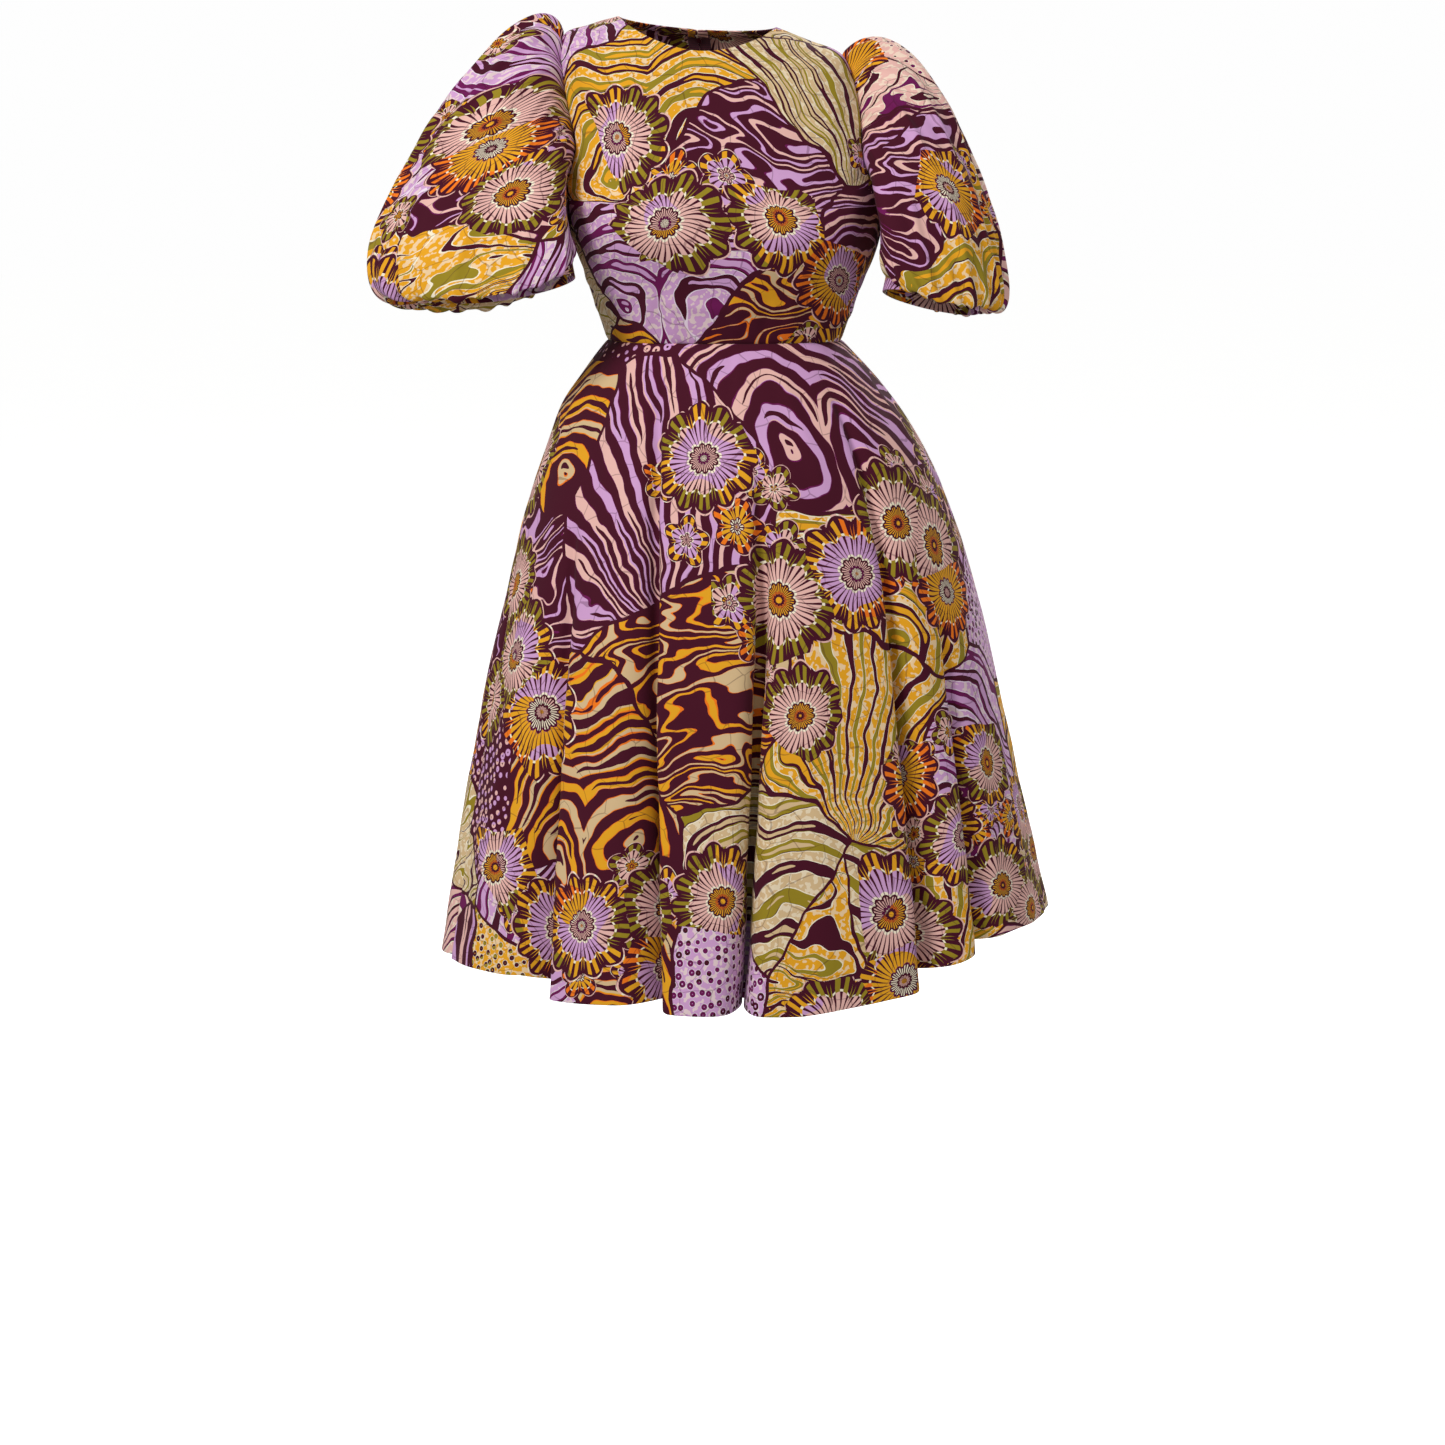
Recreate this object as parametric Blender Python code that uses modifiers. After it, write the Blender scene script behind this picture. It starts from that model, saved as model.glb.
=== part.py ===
"""A worn wax print dress: fitted bodice, gathered puff sleeves on narrow bands, and a flared skirt
that falls in deep folds. It closes with a concealed zip at centre back.

Metres, +Z up. The front faces -Y and the wearer's left is +X. The origin is the middle of the neck
opening at the height of the shoulder points, where the wearer's shoulders hold the dress.

Each cloth panel is an open surface, worked out from a short table of sections, with a wall that
goes inwards from it. A turn is the angle about the body from centre front, positive towards +X.
"""

import math
from collections import namedtuple

import bmesh
import bpy
import numpy as np
from mathutils import Matrix, Vector

# Cloth
CLOTH = 0.0015
SEAM_GAP = 0.0003
QUARTER = math.pi / 2

# Bodice sections from the waist seam up to the neck edge. Each is a ring about the body, given by
# its place at the sides, at centre front and at centre back. The step is its place along a panel.
Ring = namedtuple(
    "Ring", "step centre_x half_width side_z front_depth front_z back_depth back_z"
)
BODICE_RINGS = (
    Ring(0.00, 0.029, 0.128, -0.338, 0.102, -0.338, 0.091, -0.338),
    Ring(0.17, 0.030, 0.148, -0.280, 0.121, -0.283, 0.098, -0.280),
    Ring(0.34, 0.030, 0.168, -0.225, 0.134, -0.231, 0.104, -0.225),
    Ring(0.45, 0.027, 0.175, -0.190, 0.132, -0.197, 0.107, -0.190),
    Ring(0.58, 0.024, 0.174, -0.140, 0.121, -0.156, 0.109, -0.142),
    Ring(0.72, 0.017, 0.168, -0.085, 0.108, -0.115, 0.107, -0.092),
    Ring(0.84, 0.006, 0.150, -0.024, 0.094, -0.078, 0.099, -0.045),
    Ring(0.92, 0.002, 0.118, -0.011, 0.085, -0.055, 0.085, -0.020),
    Ring(1.00, 0.000, 0.085, 0.000, 0.076, -0.034, 0.067, -0.005),
)
TORSO_SQUARENESS = 0.05
# Fullness over the bust and the shoulder blades
Mound = namedtuple("Mound", "turn step height width length")
MOUNDS = (
    Mound(-33, 0.36, 0.014, 19, 0.15),
    Mound(33, 0.36, 0.014, 19, 0.15),
    Mound(-145, 0.66, 0.006, 24, 0.20),
    Mound(145, 0.66, 0.006, 24, 0.20),
)
SHOULDER_TILT = 0.068
TILT_FROM_Z = -0.30

# Armhole: an oval round the side between these steps, that reaches in from the side line.
UNDERARM_STEP = 0.45
SHOULDER_TIP_STEP = 0.84
ARMHOLE_FRONT_REACH = math.radians(31)
ARMHOLE_BACK_REACH = math.radians(28)
ARMHOLE_LOWNESS = 0.75
ARMHOLE_ROUNDNESS = 0.70
ARMHOLE_STEPS = 12

SIDE_STEPS = 7
SHOULDER_STEPS = 3
FRONT_COLUMNS = 20
BACK_COLUMNS = 10
BACK_OPENING = 0.0016

# Skirt sections from the waist seam down to the hem, as the outline of its folds.
SkirtRing = namedtuple("SkirtRing", "step z centre_x half_width front_depth back_depth")
SKIRT_RINGS = (
    SkirtRing(0.00, -0.338, 0.029, 0.128, 0.102, 0.091),
    SkirtRing(0.05, -0.370, 0.032, 0.155, 0.125, 0.115),
    SkirtRing(0.10, -0.404, 0.034, 0.181, 0.148, 0.138),
    SkirtRing(0.16, -0.448, 0.040, 0.204, 0.171, 0.163),
    SkirtRing(0.25, -0.514, 0.044, 0.231, 0.197, 0.190),
    SkirtRing(0.38, -0.603, 0.048, 0.257, 0.222, 0.213),
    SkirtRing(0.51, -0.693, 0.048, 0.279, 0.241, 0.232),
    SkirtRing(0.64, -0.784, 0.049, 0.298, 0.257, 0.247),
    SkirtRing(0.78, -0.875, 0.050, 0.316, 0.271, 0.262),
    SkirtRing(0.92, -0.968, 0.051, 0.332, 0.282, 0.273),
    SkirtRing(1.00, -1.023, 0.051, 0.341, 0.288, 0.280),
)
SKIRT_SQUARENESS = 0.02
SKIRT_STEPS = (0.0, 0.05, 0.11, 0.19, 0.29, 0.41, 0.54, 0.67, 0.79, 0.90, 1.0)

# Skirt folds, a row for each valley, by turn in degrees at the waist and at the hem. Depth is at the
# hem, width is the valley's half width in degrees, lean is how far the valley floor slides under the
# flute beside it (positive towards +X), pinch is how nearly the flutes close over the valley, and
# start is the step where the fold begins.
Fold = namedtuple("Fold", "turn_top turn_hem depth width lean pinch start")
FRONT_FOLDS = (
    Fold(-78.0, -76.0, 0.036, 4.0, 0.016, 0.40, 0.30),
    Fold(-49.0, -42.5, 0.050, 4.4, 0.023, 0.50, 0.20),
    Fold(-26.0, -18.5, 0.050, 3.2, 0.024, 0.60, -0.05),
    Fold(8.0, -1.0, 0.072, 2.8, 0.004, 0.95, 0.12),
    Fold(40.0, 36.5, 0.054, 3.4, -0.019, 0.50, 0.02),
    Fold(56.0, 49.6, 0.044, 2.7, -0.018, 0.45, 0.34),
)
BACK_LEFT_FOLDS = (
    Fold(104.0, 103.0, 0.046, 4.2, -0.018, 0.45, 0.16),
    Fold(127.0, 126.0, 0.056, 4.2, 0.022, 0.60, 0.04),
    Fold(151.0, 150.0, 0.050, 4.0, 0.018, 0.50, 0.20),
)
BACK_RIGHT_FOLDS = (
    Fold(-153.0, -153.0, 0.054, 4.2, -0.020, 0.55, 0.10),
    Fold(-130.0, -129.0, 0.048, 4.0, -0.018, 0.50, 0.22),
    Fold(-106.0, -105.0, 0.054, 4.2, 0.020, 0.60, 0.06),
)
# How far the hem hangs above its lowest level, by turn.
HemLevel = namedtuple("HemLevel", "turn lift")
HEM_LEVELS = (
    HemLevel(-180, 0.000),
    HemLevel(-120, 0.006),
    HemLevel(-90, 0.004),
    HemLevel(-60, 0.018),
    HemLevel(-48, 0.022),
    HemLevel(-37, 0.003),
    HemLevel(-20, 0.009),
    HemLevel(-13, 0.001),
    HemLevel(10, 0.000),
    HemLevel(31, 0.016),
    HemLevel(45, 0.046),
    HemLevel(56, 0.062),
    HemLevel(90, 0.058),
    HemLevel(120, 0.030),
    HemLevel(150, 0.010),
    HemLevel(180, 0.000),
)
HEM_LIFT_POWER = 4
VALLEY_STATIONS = (-2.1, -1.4, -0.85, -0.4, 0.0, 0.4, 0.85, 1.4, 2.1)
CROWN_COLUMNS = 3
FOLD_GROWTH = 1.2
PINCH_REACH = 2.0

# Sleeves. The guides say how the cloth leaves the armhole and how it comes back to the band, in
# metres out from the body, forwards and up, at four places round the sleeve.
Guide = namedtuple("Guide", "leave_out leave_forward leave_up fall_out fall_forward fall_up")
Sleeve = namedtuple(
    "Sleeve", "side cuff_x cuff_y cuff_z cuff_radius side_drop crown front under back"
)
SLEEVE_RIGHT = Sleeve(
    side=-1,
    cuff_x=-0.196,
    cuff_y=-0.078,
    cuff_z=-0.266,
    cuff_radius=0.065,
    side_drop=math.radians(11),
    crown=Guide(0.031, 0.000, 0.143, 0.240, 0.006, -0.112),
    front=Guide(0.026, 0.060, 0.016, -0.016, 0.052, -0.110),
    under=Guide(0.012, 0.010, -0.016, -0.010, 0.006, 0.020),
    back=Guide(0.060, -0.070, 0.020, 0.050, -0.060, -0.110),
)
SLEEVE_LEFT = Sleeve(
    side=1,
    cuff_x=0.252,
    cuff_y=-0.078,
    cuff_z=-0.280,
    cuff_radius=0.053,
    side_drop=math.radians(13),
    crown=Guide(0.100, 0.000, 0.112, 0.078, 0.006, -0.086),
    front=Guide(0.026, 0.056, 0.016, -0.024, 0.060, -0.084),
    under=Guide(0.012, 0.010, -0.016, -0.010, 0.006, 0.020),
    back=Guide(0.066, -0.068, 0.020, 0.030, -0.060, -0.080),
)
CUFF_FRONT_RISE = math.radians(10)
SLEEVE_STEPS = 11
RING_POINTS = 4 * ARMHOLE_STEPS
GATHERS = 12
HEAD_GATHER = 0.0065
CUFF_GATHER = 0.0026
HEAD_GATHER_LENGTH = 0.16
CUFF_GATHER_LENGTH = 0.12
GATHER_RISE = 0.03
BAND_HEIGHT = 0.015
BAND_POINTS = 24

# Zip, down the centre back from just under the neck edge to the hip
ZIP_TOP_STEP = 0.985
ZIP_END_STEP = 0.22
TAPE_START = 0.0032
TAPE_WIDTH = 0.009
TAPE_THICKNESS = 0.0010
TAPE_INSET = CLOTH + 0.0008
SLIDER_STEP = 0.955
SLIDER_GAP = 0.0005
SLIDER_WIDTH = 0.0050
SLIDER_LENGTH = 0.0085
SLIDER_THICKNESS = 0.0022
SLIDER_NECK = 0.0008
SLIDER_NECK_LENGTH = 0.0040
PLATE_THICKNESS = 0.0010
EAR_THICKNESS = 0.0009
EAR_LENGTH = 0.0030
BAR_RADIUS = 0.0005
EYE_INNER = 0.0008
EYE_OUTER = 0.0013
EYE_WIDTH = 0.0024
BAR_STANDOFF = 0.0018
PULL_LENGTH = 0.0220
PULL_WIDTH = 0.0050
PULL_STRETCH = 1.9
PULL_NECK = 0.0020
PULL_THICKNESS = 0.0010
PULL_REST_TURN = math.radians(-12)


def read(rows, column, step):
    """A column between its rows: a cubic whose slope at a row comes from the rows beside it."""
    steps = np.array([row.step for row in rows])
    values = np.array([getattr(row, column) for row in rows])
    slopes = np.gradient(values, steps)
    low = np.clip(np.searchsorted(steps, step, side="right") - 1, 0, len(steps) - 2)
    width = steps[low + 1] - steps[low]
    s = (step - steps[low]) / width
    start, end = 2 * s**3 - 3 * s**2 + 1, 3 * s**2 - 2 * s**3
    leave, arrive = s**3 - 2 * s**2 + s, s**3 - s**2
    from_slopes = width * (leave * slopes[low] + arrive * slopes[low + 1])
    return start * values[low] + end * values[low + 1] + from_slopes


def smooth(value):
    """A smooth rise from 0 to 1."""
    value = np.clip(value, 0, 1)
    return value * value * (3 - 2 * value)


def torso(turn, step):
    """Point on the bodice surface, as an array whose last axis is x, y, z."""
    turn, step = np.broadcast_arrays(np.asarray(turn, float), np.asarray(step, float))
    sine, cosine = np.sin(turn), np.cos(turn)
    square = 1 + TORSO_SQUARENESS * np.sin(2 * turn) ** 2
    in_front = cosine > 0
    front_depth, back_depth = (read(BODICE_RINGS, c, step) for c in ("front_depth", "back_depth"))
    front_z, back_z = (read(BODICE_RINGS, c, step) for c in ("front_z", "back_z"))
    side_z = read(BODICE_RINGS, "side_z", step)
    fullness = 0
    for mound in MOUNDS:
        across = (turn - math.radians(mound.turn)) / math.radians(mound.width)
        up = (step - mound.step) / mound.length
        fullness = fullness + mound.height * np.exp(-(across**2) - up**2)
    x = read(BODICE_RINGS, "half_width", step) * sine * square + fullness * sine
    y = -np.where(in_front, front_depth, back_depth) * cosine * square - fullness * cosine
    z = side_z + (np.where(in_front, front_z, back_z) - side_z) * cosine**2
    z = z - SHOULDER_TILT * x * smooth(1 - side_z / TILT_FROM_Z)
    return np.stack([x + read(BODICE_RINGS, "centre_x", step), y, z], -1)


def armhole(step, reach):
    """How far the armhole reaches in from the side line, as a turn."""
    height = (step - UNDERARM_STEP) / (SHOULDER_TIP_STEP - UNDERARM_STEP)
    height = np.clip(height, 0, 1) ** ARMHOLE_LOWNESS
    return reach * np.clip(np.sin(math.pi * height), 0, 1) ** ARMHOLE_ROUNDNESS


def armhole_stations():
    """Steps of the armhole's points from underarm to shoulder tip, closer at its two ends."""
    along = (1 - np.cos(np.linspace(0, math.pi, ARMHOLE_STEPS + 1))) / 2
    return UNDERARM_STEP + (SHOULDER_TIP_STEP - UNDERARM_STEP) * along


def bodice_stations():
    """Steps of a bodice panel's rows from the waist seam to the neck edge."""
    side = np.linspace(0, UNDERARM_STEP, SIDE_STEPS + 1)
    shoulder = np.linspace(SHOULDER_TIP_STEP, 1, SHOULDER_STEPS + 1)
    return np.concatenate([side[:-1], armhole_stations(), shoulder[1:]])


def bodice_front_points():
    """Rows of points of the front, from the wearer's right side to the left."""
    step = bodice_stations()[:, None]
    seam = SEAM_GAP / 2 / read(BODICE_RINGS, "front_depth", step)
    edge = QUARTER - armhole(step, ARMHOLE_FRONT_REACH) - seam
    return torso(np.linspace(-1, 1, FRONT_COLUMNS + 1) * edge, step)


def bodice_back_points(side):
    """Rows of points of one half back, from its side seam to the centre back."""
    step = bodice_stations()[:, None]
    seam = SEAM_GAP / 2 / read(BODICE_RINGS, "back_depth", step)
    opening = BACK_OPENING / 2 / read(BODICE_RINGS, "half_width", step)
    edge = QUARTER + armhole(step, ARMHOLE_BACK_REACH) + seam
    across = np.linspace(0, 1, BACK_COLUMNS + 1)
    return torso(side * (edge + (math.pi - opening - edge) * across), step)


def skirt_base(turn, step):
    """Outline of the skirt's flutes, with its outward and sideways directions in the plane."""
    sine, cosine = np.sin(turn), np.cos(turn)
    front, back = (read(SKIRT_RINGS, c, step) for c in ("front_depth", "back_depth"))
    depth = np.where(cosine > 0, front, back)
    half = read(SKIRT_RINGS, "half_width", step)
    square = 1 + SKIRT_SQUARENESS * np.sin(2 * turn) ** 2
    place = np.stack([half * sine * square, -depth * cosine * square], -1)
    along = np.stack([half * cosine, depth * sine], -1)
    along = along / np.linalg.norm(along, axis=-1, keepdims=True)
    outward = np.stack([along[..., 1], -along[..., 0]], -1)
    return place, outward, along


def skirt(turn, step):
    """Point on the skirt surface: the outline, pushed in and slid sideways in each fold."""
    turn, step = np.broadcast_arrays(np.asarray(turn, float), np.asarray(step, float))
    place, outward, along = skirt_base(turn, step)
    reach = np.linalg.norm(place, axis=-1)
    inwards, sideways = 0, 0
    for fold in FRONT_FOLDS + BACK_LEFT_FOLDS + BACK_RIGHT_FOLDS:
        middle = np.radians(fold.turn_top + (fold.turn_hem - fold.turn_top) * step)
        off = (turn - middle) / math.radians(fold.width)
        grown = np.clip((step - fold.start) / (1 - fold.start), 0, 1) ** FOLD_GROWTH
        valley = grown * np.exp(-(off**2))
        inwards = inwards + fold.depth * valley
        closing = fold.pinch * grown * off * np.exp(-((off / PINCH_REACH) ** 2))
        sideways = sideways + fold.lean * valley - closing * reach * math.radians(fold.width)
    place = place - outward * inwards[..., None] + along * sideways[..., None]
    x = place[..., 0]
    levels = [level.turn for level in HEM_LEVELS], [level.lift for level in HEM_LEVELS]
    lift = np.interp(np.degrees(turn), *levels) * step**HEM_LIFT_POWER
    z = read(SKIRT_RINGS, "z", step) + lift
    return np.stack([x + read(SKIRT_RINGS, "centre_x", step), place[..., 1], z], -1)


def skirt_turns(folds, first, last, step):
    """Turns of a skirt panel's columns at one step, close together in each fold's valley."""
    turns = [first]
    for fold in folds:
        middle = math.radians(fold.turn_top + (fold.turn_hem - fold.turn_top) * step)
        stations = [middle + math.radians(fold.width) * s for s in VALLEY_STATIONS]
        turns += list(np.linspace(turns[-1], stations[0], CROWN_COLUMNS + 1)[1:])
        turns += stations[1:]
    return turns + list(np.linspace(turns[-1], last, CROWN_COLUMNS + 1)[1:])


def skirt_points(folds, first, last, first_edge, last_edge):
    """Rows of points of a skirt panel, from the waist seam to the hem, with each edge's gap."""
    rows = []
    for step in SKIRT_STEPS:
        turns = skirt_turns(folds, first + first_edge(step), last - last_edge(step), step)
        rows.append(skirt(np.array(turns), step))
    points = np.array(rows)
    points[0, :, 2] -= SEAM_GAP
    return points


def side_edge(step):
    """Turn between the side line and a panel's edge there."""
    return SEAM_GAP / 2 / float(read(SKIRT_RINGS, "back_depth", step))


def back_edge(step):
    """Turn between centre back and a panel's edge there, wider where the zip is."""
    gap = BACK_OPENING if step < ZIP_END_STEP else SEAM_GAP
    return gap / 2 / float(read(SKIRT_RINGS, "half_width", step))


def skirt_back_points(side):
    """Rows of points of one back of the skirt, from its side seam to the centre back."""
    if side > 0:
        return skirt_points(BACK_LEFT_FOLDS, QUARTER, math.pi, side_edge, back_edge)
    points = skirt_points(BACK_RIGHT_FOLDS, -math.pi, -QUARTER, back_edge, side_edge)
    return points[:, ::-1]


def armhole_loop(side):
    """Points round an armhole from the shoulder tip down the front and up the back, and the angle
    of each, with one more point between each two points of the bodice's own edge."""
    down = armhole_stations()[::-1]
    up = armhole_stations()
    front = torso(side * (QUARTER - armhole(down, ARMHOLE_FRONT_REACH)), down)
    back = torso(side * (QUARTER + armhole(up, ARMHOLE_BACK_REACH)), up)
    halves = []
    angles = []
    for number, half in enumerate((front, back)):
        between = (half[:-1] + half[1:]) / 2
        full = np.insert(half, range(1, len(half)), between, axis=0)
        length = np.concatenate([[0], np.cumsum(np.linalg.norm(np.diff(full, axis=0), axis=1))])
        halves.append(full[:-1])
        angles.append(math.pi * (number + length[:-1] / length[-1]))
    return np.concatenate(halves), np.concatenate(angles)


def around(guides, column, angle):
    """A guide column round the sleeve: a smooth wave through its four values."""
    crown, front, under, back = (getattr(guide, column) for guide in guides)
    mean = (crown + front + under + back) / 4
    twice = (crown + under - front - back) / 4
    wave = (crown - under) / 2 * np.cos(angle) + (front - back) / 2 * np.sin(angle)
    return mean + wave + twice * np.cos(2 * angle)


def handles(sleeve, angle, kind):
    """Direction and reach of the cloth where it leaves the armhole or falls to the band."""
    guides = (sleeve.crown, sleeve.front, sleeve.under, sleeve.back)
    out = sleeve.side * around(guides, kind + "_out", angle)
    forward = -around(guides, kind + "_forward", angle)
    return np.stack([out, forward, around(guides, kind + "_up", angle)], -1)


def cuff_axes(sleeve):
    """Sideways, forward and downward directions of the sleeve's band."""
    sideways = Vector((sleeve.side * math.cos(sleeve.side_drop), 0, -math.sin(sleeve.side_drop)))
    forward = Vector((0, -math.cos(CUFF_FRONT_RISE), math.sin(CUFF_FRONT_RISE)))
    down = sideways.cross(forward).normalized()
    if down.z > 0:
        down.negate()
    return np.array(sideways), np.array(forward), np.array(down)


def cuff_ring(sleeve, angle):
    """Points of the band's top edge at these angles round the sleeve."""
    sideways, forward, _ = cuff_axes(sleeve)
    centre = np.array([sleeve.cuff_x, sleeve.cuff_y, sleeve.cuff_z])
    ring = np.cos(angle)[:, None] * sideways + np.sin(angle)[:, None] * forward
    return centre + sleeve.cuff_radius * ring


def sleeve_points(sleeve):
    """Rings of points from the armhole to the band: cubic curves, then the gathers."""
    start, angle = armhole_loop(sleeve.side)
    start = start + np.array([sleeve.side * SEAM_GAP, 0, 0])
    end = cuff_ring(sleeve, angle)
    first = start + handles(sleeve, angle, "leave")
    second = end + handles(sleeve, angle, "fall")
    s = ((1 - np.cos(np.linspace(0, math.pi, SLEEVE_STEPS + 1))) / 2)[:, None, None]
    rings = (1 - s) ** 3 * start + 3 * (1 - s) ** 2 * s * first
    rings = rings + 3 * (1 - s) * s**2 * second + s**3 * end
    return rings + gathers(sleeve, rings, angle, s[..., 0])


def gathers(sleeve, rings, angle, s):
    """Small radial folds that die away from the armhole's crown and from the band."""
    forward = np.gradient(rings, axis=0)
    round_it = np.roll(rings, -1, axis=1) - np.roll(rings, 1, axis=1)
    normal = sleeve.side * np.cross(forward, round_it)
    normal = normal / np.linalg.norm(normal, axis=-1, keepdims=True)
    crown = (1 + np.cos(angle)) / 2
    head = HEAD_GATHER * crown * np.exp(-s / HEAD_GATHER_LENGTH) * (1 - np.exp(-s / GATHER_RISE))
    left = 1 - s
    cuff = CUFF_GATHER * np.exp(-left / CUFF_GATHER_LENGTH) * (1 - np.exp(-left / GATHER_RISE))
    wave = np.cos(2 * math.pi * GATHERS * np.arange(RING_POINTS) / RING_POINTS)
    return normal * ((head + cuff) * wave)[..., None]


def band_points(sleeve):
    """Top and bottom rings of the sleeve's band."""
    angle = np.linspace(0, 2 * math.pi, BAND_POINTS, endpoint=False)
    down = cuff_axes(sleeve)[2]
    top = cuff_ring(sleeve, angle) + down * (SEAM_GAP + CLOTH)
    return np.stack([top, top + down * BAND_HEIGHT])


def tape_points(side):
    """Rows of points of one zip tape, along the flats of the back panels and inside their wall."""
    skirt_rows = skirt_back_points(side)[1:]
    skirt_step = np.array(SKIRT_STEPS[1:])
    kept = skirt_step < ZIP_END_STEP
    bodice_rows = bodice_back_points(side)
    edges = np.concatenate([skirt_rows[kept][::-1, -2:], bodice_rows[:-1, -2:]])
    last = (ZIP_TOP_STEP - bodice_stations()[-2]) / (1 - bodice_stations()[-2])
    top = bodice_rows[-2, -2:] + (bodice_rows[-1, -2:] - bodice_rows[-2, -2:]) * last
    edges = np.concatenate([edges, top[None]])
    across = edges[:, 0] - edges[:, 1]
    across = across / np.linalg.norm(across, axis=-1, keepdims=True)
    inwards = side * np.cross(across, np.gradient(edges[:, 1], axis=0))
    inwards = inwards / np.linalg.norm(inwards, axis=-1, keepdims=True)
    near = edges[:, 1] + inwards * TAPE_INSET + across * TAPE_START
    return np.stack([near, near + across * TAPE_WIDTH], axis=1)


def slider_frame():
    """Frame of the pull's axis over the closed back edges: +Y out of the cloth and +Z up."""
    nudge = 0.004
    place, above, below = (torso(math.pi, SLIDER_STEP + n) for n in (0, nudge, -nudge))
    up = Vector(above - below).normalized()
    side = Vector((-1, 0, 0)).cross(up).cross(up).normalized()
    if side.x < 0:
        side.negate()
    out = up.cross(side).normalized()
    frame = Matrix((side, out, up)).transposed().to_4x4()
    frame.translation = Vector(place) + out * (SLIDER_GAP + PLATE_THICKNESS + BAR_STANDOFF)
    return frame


def new_object(name, mesh, group):
    """An object of that mesh, in the dress's collection."""
    made = bpy.data.objects.new(name, mesh)
    group.objects.link(made)
    return made


def surface_object(name, points, group, closed=False, thickness=CLOTH, outward=None):
    """A panel: a grid of points made a surface, with a wall that goes in from it."""
    rows, columns = points.shape[:2]
    body = bmesh.new()
    grid = [[body.verts.new(point) for point in row] for row in points]
    last = columns if closed else columns - 1
    for r in range(rows - 1):
        for c in range(last):
            n = (c + 1) % columns
            body.faces.new((grid[r][c], grid[r][n], grid[r + 1][n], grid[r + 1][c]))
    body.normal_update()
    facing = sum(face.normal.dot(outward(face.calc_center_median())) for face in body.faces)
    if facing < 0:
        bmesh.ops.reverse_faces(body, faces=body.faces)
    mesh = bpy.data.meshes.new(name)
    body.to_mesh(mesh)
    body.free()
    mesh.shade_smooth()
    made = new_object(name, mesh, group)
    wall = made.modifiers.new("wall", "SOLIDIFY")
    wall.thickness = thickness
    wall.offset = -1
    wall.use_even_offset = False
    return made


def away_from(x):
    """Direction from an upright line at x, which tells a panel's outside from its inside."""
    return lambda place: Vector((place.x - x, place.y, 0))


def away_from_sleeve(sleeve):
    """Direction from the line between the armhole's middle and the band."""
    top = Vector((sleeve.side * 0.17, 0, -0.10))
    low = Vector((sleeve.cuff_x, sleeve.cuff_y, sleeve.cuff_z))

    def outward(place):
        along = (low - top).normalized()
        return (place - top) - along * (place - top).dot(along)

    return outward


def cloth_material():
    """Waxed cotton in the print's main colour."""
    made = bpy.data.materials.new("printed_cotton")
    made.use_nodes = True
    shader = made.node_tree.nodes["Principled BSDF"]
    shader.inputs["Base Color"].default_value = (0.36, 0.16, 0.10, 1)
    shader.inputs["Roughness"].default_value = 0.75
    return made


def metal_material():
    """Lacquered zinc of the slider and its pull."""
    made = bpy.data.materials.new("lacquered_zinc")
    made.use_nodes = True
    shader = made.node_tree.nodes["Principled BSDF"]
    shader.inputs["Base Color"].default_value = (0.09, 0.012, 0.03, 1)
    shader.inputs["Metallic"].default_value = 0.6
    shader.inputs["Roughness"].default_value = 0.35
    return made


def tape_material():
    """Woven polyester of the zip's tapes."""
    made = bpy.data.materials.new("zip_tape")
    made.use_nodes = True
    shader = made.node_tree.nodes["Principled BSDF"]
    shader.inputs["Base Color"].default_value = (0.06, 0.008, 0.02, 1)
    shader.inputs["Roughness"].default_value = 0.85
    return made


def box(name, size, centre, group):
    """A box from a unit cube, with its place in its mesh."""
    body = bmesh.new()
    bmesh.ops.create_cube(body, size=1)
    bmesh.ops.scale(body, vec=size, verts=body.verts)
    bmesh.ops.translate(body, vec=centre, verts=body.verts)
    mesh = bpy.data.meshes.new(name)
    body.to_mesh(mesh)
    body.free()
    return new_object(name, mesh, group)


def rod(name, radius, length, centre, group, sides=16):
    """A cylinder along X, with its place in its mesh."""
    body = bmesh.new()
    bmesh.ops.create_cone(
        body, cap_ends=True, segments=sides, radius1=radius, radius2=radius, depth=length
    )
    bmesh.ops.rotate(body, matrix=Matrix.Rotation(QUARTER, 3, "Y"), verts=body.verts)
    bmesh.ops.translate(body, vec=centre, verts=body.verts)
    mesh = bpy.data.meshes.new(name)
    body.to_mesh(mesh)
    body.free()
    return new_object(name, mesh, group)


def combine(base, tool, operation):
    """Cuts a tool from a solid or joins it on, and removes the tool."""
    change = base.modifiers.new("change", "BOOLEAN")
    change.operation = operation
    change.object = tool
    result = bpy.data.meshes.new_from_object(base.evaluated_get(bpy.context.evaluated_depsgraph_get()))
    base.modifiers.clear()
    base.data = result
    bpy.data.objects.remove(tool)


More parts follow.
